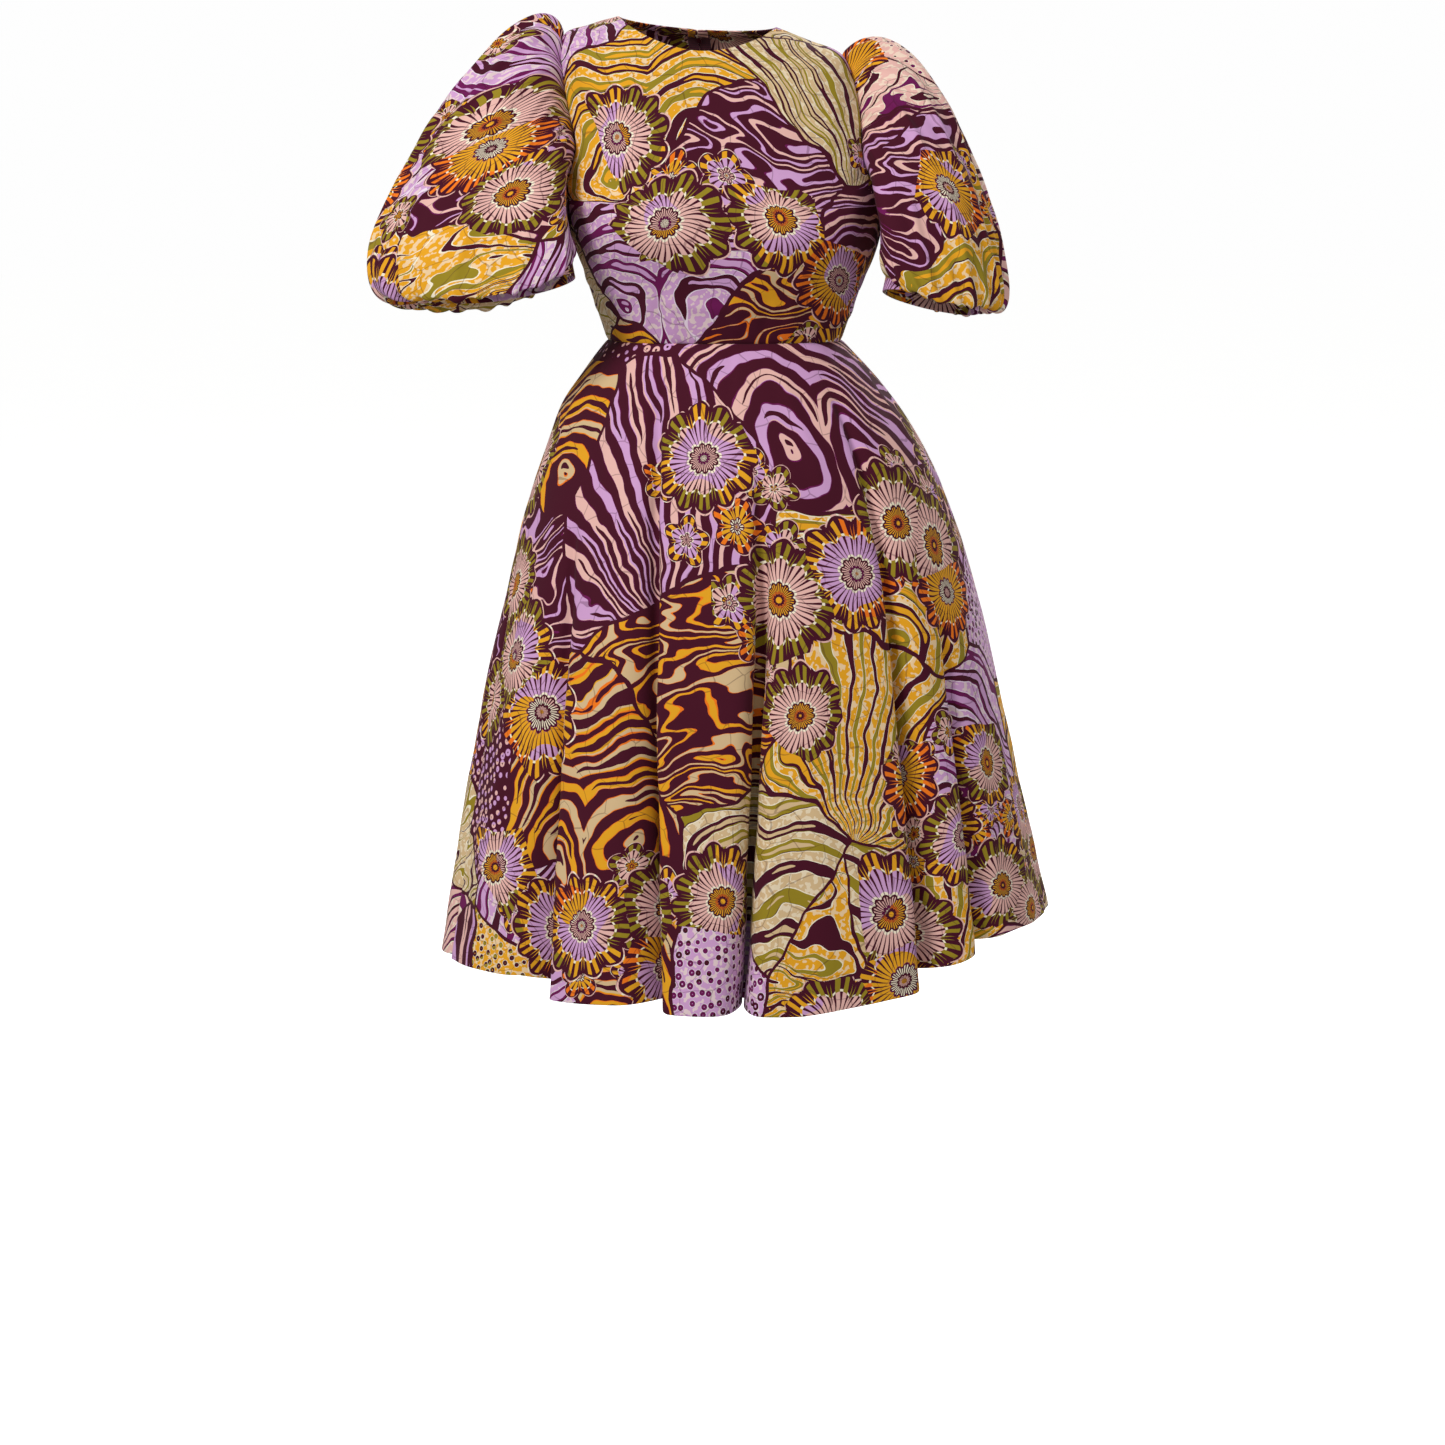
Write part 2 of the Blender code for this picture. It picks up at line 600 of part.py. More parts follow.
def make_slider(group):
    """The slider in its own frame: a body inside the cloth, a neck between the back edges, and
    outside them a plate with two ears that hold the pull's bar."""
    plate_y = -(BAR_STANDOFF + PLATE_THICKNESS / 2)
    body_y = plate_y - PLATE_THICKNESS / 2 - CLOTH - 2 * SLIDER_GAP - SLIDER_THICKNESS / 2
    slider_size = (SLIDER_WIDTH, SLIDER_THICKNESS, SLIDER_LENGTH)
    slider = box("zip_slider", slider_size, (0, body_y, 0), group)
    neck_size = (SLIDER_NECK, plate_y - body_y, SLIDER_NECK_LENGTH)
    combine(slider, box("neck", neck_size, (0, (plate_y + body_y) / 2, 0), group), "UNION")
    plate_size = (SLIDER_WIDTH, PLATE_THICKNESS, SLIDER_LENGTH)
    combine(slider, box("plate", plate_size, (0, plate_y, 0), group), "UNION")
    ear_top = BAR_RADIUS * 2
    ear_place = SLIDER_WIDTH / 2 - EAR_THICKNESS / 2
    ear_size = (EAR_THICKNESS, ear_top - plate_y, EAR_LENGTH)
    for side in (-1, 1):
        ear = box("ear", ear_size, (side * ear_place, (ear_top + plate_y) / 2, 0), group)
        combine(slider, ear, "UNION")
    combine(slider, rod("bar", BAR_RADIUS, 2 * ear_place, (0, 0, 0), group), "UNION")
    return slider


def make_pull(group):
    """The pull in the same frame: an eye round the slider's bar, a neck and a drop-shaped plate."""
    pull = rod("zip_pull", EYE_OUTER, EYE_WIDTH, (0, 0, 0), group, sides=20)
    neck_top = -(EYE_INNER + EYE_OUTER) / 2
    plate_z = PULL_WIDTH / 2 * PULL_STRETCH - PULL_LENGTH
    neck = box(
        "neck",
        (PULL_NECK, PULL_THICKNESS, neck_top - plate_z),
        (0, 0, (neck_top + plate_z) / 2),
        group,
    )
    combine(pull, neck, "UNION")
    body = bmesh.new()
    bmesh.ops.create_cone(
        body,
        cap_ends=True,
        segments=24,
        radius1=PULL_WIDTH / 2,
        radius2=PULL_WIDTH / 2,
        depth=PULL_THICKNESS,
    )
    bmesh.ops.rotate(body, matrix=Matrix.Rotation(QUARTER, 3, "X"), verts=body.verts)
    bmesh.ops.scale(body, vec=(1, 1, PULL_STRETCH), verts=body.verts)
    bmesh.ops.translate(body, vec=(0, 0, plate_z), verts=body.verts)
    mesh = bpy.data.meshes.new("plate")
    body.to_mesh(mesh)
    body.free()
    combine(pull, new_object("plate", mesh, group), "UNION")
    combine(pull, rod("eye", EYE_INNER, 2 * EYE_WIDTH, (0, 0, 0), group, sides=20), "DIFFERENCE")
    return pull


def place_zip_metal(group, metal):
    """Seats the slider on the closed back edges, with its pull hanging along them."""
    frame = slider_frame()
    slider = make_slider(group)
    slider.matrix_world = frame
    pull = make_pull(group)
    pull.matrix_world = frame @ Matrix.Rotation(PULL_REST_TURN, 4, "X")
    for made in (slider, pull):
        made.data.materials.append(metal)


def clear_scene():
    """Removes whatever the file holds."""
    for old in list(bpy.data.objects):
        bpy.data.objects.remove(old)


def main():
    clear_scene()
    group = bpy.data.collections.new("wax_print_dress")
    bpy.context.scene.collection.children.link(group)
    cloth, metal, tape = cloth_material(), metal_material(), tape_material()
    torso_out = away_from(BODICE_RINGS[0].centre_x)
    skirt_out = away_from(SKIRT_RINGS[-1].centre_x)

    skirt_front = skirt_points(FRONT_FOLDS, -QUARTER, QUARTER, side_edge, side_edge)
    flat_panels = (
        ("bodice_front", bodice_front_points(), torso_out),
        ("bodice_back_left", bodice_back_points(1), torso_out),
        ("bodice_back_right", bodice_back_points(-1), torso_out),
        ("skirt_front", skirt_front, skirt_out),
        ("skirt_back_left", skirt_back_points(1), skirt_out),
        ("skirt_back_right", skirt_back_points(-1), skirt_out),
    )
    panels = [surface_object(name, grid, group, outward=out) for name, grid, out in flat_panels]
    for side_name, sleeve in (("left", SLEEVE_LEFT), ("right", SLEEVE_RIGHT)):
        outward = away_from_sleeve(sleeve)
        for name, points in (("sleeve", sleeve_points(sleeve)), ("sleeve_band", band_points(sleeve))):
            made = surface_object(f"{name}_{side_name}", points, group, closed=True, outward=outward)
            panels.append(made)
    for panel in panels:
        panel.data.materials.append(cloth)

    for side_name, side in (("left", 1), ("right", -1)):
        strip = surface_object(
            f"zip_tape_{side_name}",
            tape_points(side),
            group,
            thickness=TAPE_THICKNESS,
            outward=torso_out,
        )
        strip.data.materials.append(tape)
    place_zip_metal(group, metal)


main()
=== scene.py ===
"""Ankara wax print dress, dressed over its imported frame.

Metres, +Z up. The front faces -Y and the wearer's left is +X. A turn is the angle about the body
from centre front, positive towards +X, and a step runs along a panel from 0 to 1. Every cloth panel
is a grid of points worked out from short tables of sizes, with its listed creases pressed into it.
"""

import logging
import math
from dataclasses import dataclass, field
from enum import Enum

import bpy
import numpy as np
from mathutils import Matrix

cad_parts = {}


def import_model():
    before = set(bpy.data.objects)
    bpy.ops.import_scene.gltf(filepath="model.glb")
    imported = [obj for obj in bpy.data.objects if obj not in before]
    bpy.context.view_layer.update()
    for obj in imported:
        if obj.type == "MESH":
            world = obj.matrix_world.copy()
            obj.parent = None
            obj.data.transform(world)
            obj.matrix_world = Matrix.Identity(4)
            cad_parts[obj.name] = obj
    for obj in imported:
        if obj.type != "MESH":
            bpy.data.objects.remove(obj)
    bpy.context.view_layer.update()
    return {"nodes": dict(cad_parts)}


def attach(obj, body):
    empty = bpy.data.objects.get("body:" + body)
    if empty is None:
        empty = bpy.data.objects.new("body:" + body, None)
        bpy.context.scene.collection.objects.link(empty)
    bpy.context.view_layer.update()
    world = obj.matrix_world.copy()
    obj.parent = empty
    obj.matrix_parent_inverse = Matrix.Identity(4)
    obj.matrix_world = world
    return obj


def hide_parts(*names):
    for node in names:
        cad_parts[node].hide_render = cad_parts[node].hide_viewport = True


Array = np.ndarray
Node = bpy.types.Node
Socket = bpy.types.NodeSocket
log = logging.getLogger("wax_print_dress")

MILLIMETRE = 0.001
CLOTH_WALL = 0.6 * MILLIMETRE
QUARTER = math.pi / 2
# How far a seam's edge rolls in, and the width of the roll, across the body and along it
WAIST_ROLL = (0.0009, 0.0026)
SIDE_ROLL = (0.0007, 0.0018)
# A turned edge's hairpin, in shares of the gap between its layers: along the cloth, in from it, and the
# length of cloth up to there
HAIRPIN = ((0.45, 0.10, 0.5), (0.62, 0.50, 1.0), (0.45, 0.90, 1.5), (0.0, 1.0, 2.1))
LAYER_GAP = 2.6 * CLOTH_WALL
# Where the lines of a turned-in layer lie, in shares of its depth
TURNED_SHARES = (0.2, 0.4, 0.6, 0.8, 1.0)
FLOOR_Z = -1.5


class Side(Enum):
    """The wearer's left or right, with the sign of its X."""

    LEFT = 1
    RIGHT = -1

    @property
    def word(self) -> str:
        """The side's name as it stands in piece names."""
        return self.name.lower()


class Edge(Enum):
    """An edge of a panel's grid."""

    FIRST_ROW = "first row"
    LAST_ROW = "last row"
    FIRST_COLUMN = "first column"
    LAST_COLUMN = "last column"


class Hold(Enum):
    """How a sheet is held."""

    HUNG = "hung"
    GATHERED = "gathered"
    STRETCHED = "stretched"


class End(Enum):
    """An end of a sleeve, by the name of a guide's field for it."""

    ARMHOLE = "leave"
    BAND = "fall"


def ease(value: Array) -> Array:
    """Smooth rise from 0 to 1: three times the square less twice the cube.

    Args:
        value: numbers that are first held between 0 and 1.

    Returns:
        The eased numbers.
    """
    value = np.clip(value, 0, 1)
    return value * value * (3 - 2 * value)


def unit(vectors: Array) -> Array:
    """Each vector of the last axis divided by its length."""
    return vectors / np.maximum(np.linalg.norm(vectors, axis=-1, keepdims=True), 1e-12)


def arc_length(points: Array, axis: int) -> Array:
    """Length of cloth from the first row or column to each point.

    Args:
        points: grid of points, with x, y, z on the last axis.
        axis: 0 along the columns, 1 along the rows.

    Returns:
        The sum of the distances between neighbouring points, with the grid's shape.
    """
    pieces = np.linalg.norm(np.diff(points, axis=axis), axis=-1)
    start = np.zeros_like(np.take(pieces, [0], axis=axis))
    return np.cumsum(np.concatenate([start, pieces], axis=axis), axis=axis)


def set_back(points: Array, normals: Array, reaches: Array) -> tuple[Array, Array]:
    """The cloth at distances from a grid's first line, between the two nearest lines in proportion.

    Args:
        points: grid of points.
        normals: the grid's normals.
        reaches: distances along the cloth.

    Returns:
        A line of points and a line of normals for each distance.
    """
    from_line = arc_length(points, 0)
    column = np.arange(points.shape[1])
    low = (from_line[None] < reaches[:, None, None]).sum(axis=1) - 1
    low = np.clip(low, 0, len(points) - 2)
    near, far = from_line[low, column], from_line[low + 1, column]
    part = np.clip((reaches[:, None] - near) / np.maximum(far - near, 1e-9), 0, 1)[..., None]
    place, normal = (
        (1 - part) * grid[low, column] + part * grid[low + 1, column] for grid in (points, normals)
    )
    return place, unit(normal)


def facing(points: Array, away: Array) -> tuple[Array, float]:
    """Which way a grid faces: the cross product of its two slopes, turned to face outwards.

    Args:
        points: grid of points.
        away: roughly outward directions.

    Returns:
        The outward normals, and 1 where rows crossed with columns point outwards, or -1.
    """
    normals = unit(np.cross(np.gradient(points, axis=0), np.gradient(points, axis=1)))
    sign = 1.0 if np.mean(np.sum(normals * away, axis=-1)) > 0 else -1.0
    return normals * sign, sign


def away_from_line(points: Array, centre_x: float) -> Array:
    """Level directions out from an upright line at the body's middle."""
    return points * np.array([1, 1, 0]) - np.array([centre_x, 0, 0])


@dataclass(frozen=True)
class Profile:
    """Sizes that change along a panel, a row for each step, read smoothly between the rows."""

    columns: tuple[str, ...]
    rows: tuple[tuple[float, ...], ...]

    def at(self, column: str, step: Array) -> Array:
        """A column's size: a cubic between two rows, with each row's slope from its neighbours.

        Args:
            column: which size.
            step: places along the panel.

        Returns:
            The size at each place.
        """
        table = np.array(self.rows)
        steps, values = table[:, 0], table[:, self.columns.index(column)]
        slopes = np.gradient(values, steps)
        low = np.clip(np.searchsorted(steps, step, side="right") - 1, 0, len(steps) - 2)
        width = steps[low + 1] - steps[low]
        s = (step - steps[low]) / width
        rise = 3 * s**2 - 2 * s**3
        leave, arrive = s**3 - 2 * s**2 + s, s**3 - s**2
        bend = width * (leave * slopes[low] + arrive * slopes[low + 1])
        return (1 - rise) * values[low] + rise * values[low + 1] + bend


@dataclass(frozen=True)
class Crease:
    """A soft ridge, or a trough where its height is negative, from one place to another."""

    turn: float
    step: float
    to_turn: float
    to_step: float
    height: float
    width: float
    bow: float = 0.0


def pressed(creases: tuple[Crease, ...], turn: Array, step: Array, radius: Array, length: float) -> Array:
    """How far creases lift the cloth. Each is a bell across its line with a shallow trough on both
    sides, bowed by a parabola, and fades in and out along the line as the root of a sine does.

    Args:
        creases: the creases, with turns in degrees and sizes in millimetres.
        turn: turn of each point, in degrees.
        step: step of each point.
        radius: distance of cloth in metres for one radian of turn at each point.
        length: length of cloth from step 0 to step 1.

    Returns:
        The height above the smooth form at each point.
    """
    trough_depth, trough_width = 0.32, 4.5
    lift = np.zeros(np.broadcast(turn, step).shape)
    for crease in creases:
        across = np.radians(turn - crease.turn) * radius
        along = (step - crease.step) * length
        reach_across = math.radians(crease.to_turn - crease.turn) * radius
        reach_along = (crease.to_step - crease.step) * length
        total = np.sqrt(reach_across**2 + reach_along**2) + 1e-9
        part = (across * reach_across + along * reach_along) / total**2
        beside = (across * reach_along - along * reach_across) / total
        inside = np.clip(part, 0, 1)
        beside = beside - crease.bow * MILLIMETRE * 4 * inside * (1 - inside)
        beyond = (part - inside) * total
        off = (beside**2 + beyond**2) / (crease.width * MILLIMETRE) ** 2
        fade = np.sqrt(np.sin(math.pi * (0.04 + 0.92 * inside)))
        bell = np.exp(-off) - trough_depth * np.exp(-off / trough_width)
        lift = lift + crease.height * MILLIMETRE * fade * bell
    return lift


def undulation(across: Array, along: Array, height: float, seed: float) -> Array:
    """Slow unevenness of worn cloth: the sum of five sine waves at different angles and lengths.

    Args:
        across: metres across the cloth.
        along: metres along the cloth.
        height: metres from the middle to the highest part of the first wave.
        seed: shifts the waves, so that two panels differ.

    Returns:
        The height above the smooth form at each point.
    """
    waves = ((52, 21, 1.0), (-33, 47, 0.8), (83, -38, 0.45), (24, 96, 0.4), (118, 71, 0.22))
    total = np.zeros(np.broadcast(across, along).shape)
    for number, (per_across, per_along, share) in enumerate(waves):
        total = total + share * np.sin(per_across * across + per_along * along + seed * (number + 1.7))
    return height * total


@dataclass
class ClothPanel:
    """A cut piece of cloth as a grid of points, with its place on the flat cut.

    The wall goes inwards from the grid, and every stitched edge rolls in to its seam.
    """

    name: str
    node: str
    points: Array
    away: Array
    cut: Array
    flat: tuple[float, float]
    held: Hold
    area: float
    hangs_from: tuple[str, ...]
    normals: Array = field(init=False)
    sign: float = field(init=False, default=1.0)
    stitch_lines: list[tuple[Array, Array]] = field(init=False, default_factory=list)

    def __post_init__(self) -> None:
        """Finds which way the grid faces."""
        self.find_normals()

    def find_normals(self) -> None:
        """Works out the outward normals again after the cloth has moved."""
        self.normals, self.sign = facing(self.points, self.away)

    def lift(self, height: Array) -> None:
        """Moves the cloth outwards by a height at each point."""
        self.points = self.points + self.normals * height[..., None]
        self.find_normals()

    def roll(self, edges: tuple[Edge, ...], depth: float | Array, width: float) -> None:
        """Rolls stitched edges in to the seam, by a bell of the distance from the edge.

        Args:
            edges: the stitched edges.
            depth: how far the edge itself goes in, one size or a column of them.
            width: distance from the edge at which most of the roll is gone.
        """
        down, across = arc_length(self.points, 0), arc_length(self.points, 1)
        from_edge = {
            Edge.FIRST_ROW: down,
            Edge.LAST_ROW: down[-1:] - down,
            Edge.FIRST_COLUMN: across,
            Edge.LAST_COLUMN: across[:, -1:] - across,
        }
        total = sum(np.exp(-((from_edge[edge] / width) ** 2)) for edge in edges)
        self.lift(-depth * np.minimum(total, 1))

    def turn_in(self, edge: Edge, depth: float, sewn: bool = False) -> None:
        """Adds a hem or a seam allowance that folds over an edge and lies along the inside, as more
        rows or columns of the same grid.

        The fold is the edge moved along the cloth and in from it, by a hairpin's two offsets. The lines
        after it are the cloth itself at growing distances from the edge, moved in along its normals.

        Args:
            edge: the edge that is turned.
            depth: how far the cloth reaches back along the inside.
            sewn: whether a row of stitches holds it down.
        """
        order = -1 if edge in (Edge.FIRST_ROW, Edge.FIRST_COLUMN) else 1
        axis = 1 if edge in (Edge.FIRST_COLUMN, Edge.LAST_COLUMN) else 0
        grids = (self.points, self.cut, self.normals)
        points, cut, normals = (np.moveaxis(grid, axis, 0)[::order] for grid in grids)
        onward, cut_onward = unit(points[-1] - points[-3]), unit(cut[-1] - cut[-3])
        hairpin = LAYER_GAP * np.array(HAIRPIN)[:, :, None, None]
        fold = points[-1] + hairpin[:, 0] * onward - hairpin[:, 1] * normals[-1]
        reaches = depth * np.array(TURNED_SHARES)
        beneath, beneath_normals = set_back(points[::-1], normals[::-1], reaches)
        rows = np.concatenate([fold, beneath - LAYER_GAP * beneath_normals])
        offsets = np.concatenate([hairpin[:, 2], reaches[:, None, None] + hairpin[-1, 2]])
        cut_rows = cut[-1] + offsets * cut_onward
        row_normals = np.concatenate([np.repeat(normals[-1:], len(fold), axis=0), beneath_normals])
        if sewn:
            self.stitch_lines.append((rows[-2], -row_normals[-2]))
        self.points, self.cut, self.normals = (
            np.moveaxis(np.concatenate([grid, more])[::order], 0, axis)
            for grid, more in ((points, rows), (cut, cut_rows), (normals, row_normals))
        )

    def turn_in_all(self, allowance: float, hem: float) -> None:
        """Turns in the seam allowances at the waist and both sides, and the stitched hem.

        Args:
            allowance: depth of the seam allowances.
            hem: depth of the hem at the last row.
        """
        self.turn_in(Edge.FIRST_ROW, allowance)
        self.turn_in(Edge.LAST_ROW, hem, sewn=True)
        self.turn_in(Edge.FIRST_COLUMN, allowance)
        self.turn_in(Edge.LAST_COLUMN, allowance)

    def sew(self, finish: bpy.types.Material) -> bpy.types.Object:
        """Makes the panel's object with its wall, in place of the plain cloth of its node.

        Args:
            finish: the cloth's material.

        Returns:
            The panel's object.
        """
        made = grid_object(self.name, self.points, self.sign, finish, self.cut)
        add_wall(made, CLOTH_WALL)
        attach(made, "dress")
        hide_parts(self.node)
        return made

    def declare(self, made: bpy.types.Object, with_pieces: tuple[bpy.types.Object, ...] = ()) -> None:
        """Does nothing: the size that the panel was cut to and the pieces that go with it are not stated.

        Args:
            made: the panel's object; not used.
            with_pieces: its stitches, and on a back its tape and coil; not used.
        """


def mesh_object(name: str, points: Array, faces: Array, finish: bpy.types.Material) -> bpy.types.Object:
    """An object at the origin from points and faces, shaded smooth.

    Args:
        name: the object's name.
        points: points in metres, as rows of x, y, z.
        faces: point numbers of each face.
        finish: the material.

    Returns:
        The new object, in the scene.
    """
    mesh = bpy.data.meshes.new(name)
    mesh.from_pydata(points, [], faces)
    mesh.shade_smooth()
    mesh.materials.append(finish)
    made = bpy.data.objects.new(name, mesh)
    bpy.context.scene.collection.objects.link(made)
    return made


def add_wall(made: bpy.types.Object, thickness: float) -> None:
    """Gives a sheet its wall, inwards from its grid.

    Args:
        made: the sheet's object.
        thickness: the wall's thickness.
    """
    wall = made.modifiers.new("wall", "SOLIDIFY")
    wall.thickness = thickness
    wall.offset = -1


def grid_object(
    name: str, points: Array, sign: float, finish: bpy.types.Material, cut: Array
) -> bpy.types.Object:
    """An object from a grid of points, with a UV map in metres on the flat cut.

    Args:
        name: the object's name.
        points: grid of points.
        sign: 1 where rows crossed with columns point outwards, or -1.
        finish: the material.
        cut: place of each point on the flat cut.

    Returns:
        The new object.
    """
    rows, columns = points.shape[:2]
    corner = np.arange(rows - 1)[:, None] * columns + np.arange(columns - 1)[None, :]
    faces = np.stack([corner, corner + columns, corner + columns + 1, corner + 1], -1)
    faces = faces.reshape(-1, 4)
    if sign < 0:
        faces = faces[:, ::-1]
    made = mesh_object(name, points.reshape(-1, 3), faces, finish)
    layer = made.data.uv_layers.new(name="cut")
    layer.data.foreach_set("uv", cut.reshape(-1, 2)[faces.ravel()].ravel().astype(np.float32))
    return made


@dataclass(frozen=True)
class Mound:
    """Fullness of the bodice over the bust or the shoulder blade."""

    turn: float
    step: float
    height: float
    width: float
    length: float


@dataclass(frozen=True)
class Torso:
    """The closed form that the bodice follows, and its armholes."""

    rings: Profile = Profile(
        ("step", "centre_x", "half_width", "side_z", "front_depth", "front_z", "back_depth", "back_z"),
        (
            (0.00, 0.029, 0.128, -0.338, 0.102, -0.338, 0.091, -0.338),
            (0.17, 0.030, 0.148, -0.280, 0.121, -0.283, 0.098, -0.280),
            (0.34, 0.030, 0.168, -0.225, 0.134, -0.231, 0.104, -0.225),
            (0.45, 0.027, 0.175, -0.190, 0.132, -0.197, 0.107, -0.190),
            (0.58, 0.024, 0.174, -0.140, 0.121, -0.156, 0.109, -0.142),
            (0.72, 0.017, 0.168, -0.085, 0.108, -0.115, 0.107, -0.092),
            (0.84, 0.006, 0.150, -0.024, 0.094, -0.078, 0.099, -0.045),
            (0.92, 0.002, 0.118, -0.011, 0.085, -0.055, 0.085, -0.020),
            (1.00, 0.000, 0.085, 0.000, 0.076, -0.034, 0.067, -0.005),
        ),
    )
    mounds: tuple[Mound, ...] = (
        Mound(-33, 0.36, 0.014, 19, 0.15),
        Mound(33, 0.36, 0.014, 19, 0.15),
        Mound(-145, 0.66, 0.006, 24, 0.20),
        Mound(145, 0.66, 0.006, 24, 0.20),
    )
    squareness: float = 0.05
    shoulder_tilt: float = 0.068
    tilt_from_z: float = -0.30
    underarm_step: float = 0.45
    tip_step: float = 0.84
    front_reach: float = math.radians(31)
    back_reach: float = math.radians(28)
    lowness: float = 0.75
    roundness: float = 0.70
    side_rows: int = 63
    armhole_rows: int = 64
    shoulder_rows: int = 25

    def at(self, turn: Array, step: Array) -> Array:
        """Points of the form: half an ellipse in front and half behind at each step, a little
        squared, lifted by each mound's bell, and tilted down to the wearer's left by the shoulders.

        Args:
            turn: turns in radians.
            step: steps from the waist seam to the neck edge.

        Returns:
            The points, with x, y, z on the last axis.
        """
        turn, step = np.broadcast_arrays(np.asarray(turn, float), np.asarray(step, float))
        sine, cosine = np.sin(turn), np.cos(turn)
        square = 1 + self.squareness * np.sin(2 * turn) ** 2
        ahead = cosine > 0
        depth = np.where(ahead, self.rings.at("front_depth", step), self.rings.at("back_depth", step))
        middle_z = np.where(ahead, self.rings.at("front_z", step), self.rings.at("back_z", step))
        side_z = self.rings.at("side_z", step)
        fullness = np.zeros(turn.shape)
        for mound in self.mounds:
            across = (turn - math.radians(mound.turn)) / math.radians(mound.width)
            up = (step - mound.step) / mound.length
            fullness = fullness + mound.height * np.exp(-(across**2) - up**2)
        x = self.rings.at("half_width", step) * sine * square + fullness * sine
        y = -depth * cosine * square - fullness * cosine
        z = side_z + (middle_z - side_z) * cosine**2
        z = z - self.shoulder_tilt * x * ease(1 - side_z / self.tilt_from_z)
        return np.stack([x + self.rings.at("centre_x", step), y, z], -1)

    def armhole(self, step: Array, reach: float) -> Array:
        """How far the armhole reaches in from the side line: a flattened half sine of the height.

        Args:
            step: steps of the bodice.
            reach: the furthest reach, in radians of turn.

        Returns:
            The reach at each step, in radians of turn.
        """
        height = (step - self.underarm_step) / (self.tip_step - self.underarm_step)
        height = np.clip(height, 0, 1) ** self.lowness
        return reach * np.clip(np.sin(math.pi * height), 0, 1) ** self.roundness

    def panel_steps(self) -> Array:
        """Steps of a bodice panel's rows, closer together at both ends of the armhole.

        Returns:
            The steps from the waist seam to the neck edge, as a column.
        """
        side = np.linspace(0, self.underarm_step, self.side_rows + 1)
        along = (1 - np.cos(np.linspace(0, math.pi, self.armhole_rows + 1))) / 2
        armhole = self.underarm_step + (self.tip_step - self.underarm_step) * along
        shoulder = np.linspace(self.tip_step, 1, self.shoulder_rows + 1)
        return np.concatenate([side[:-1], armhole, shoulder[1:]])[:, None]


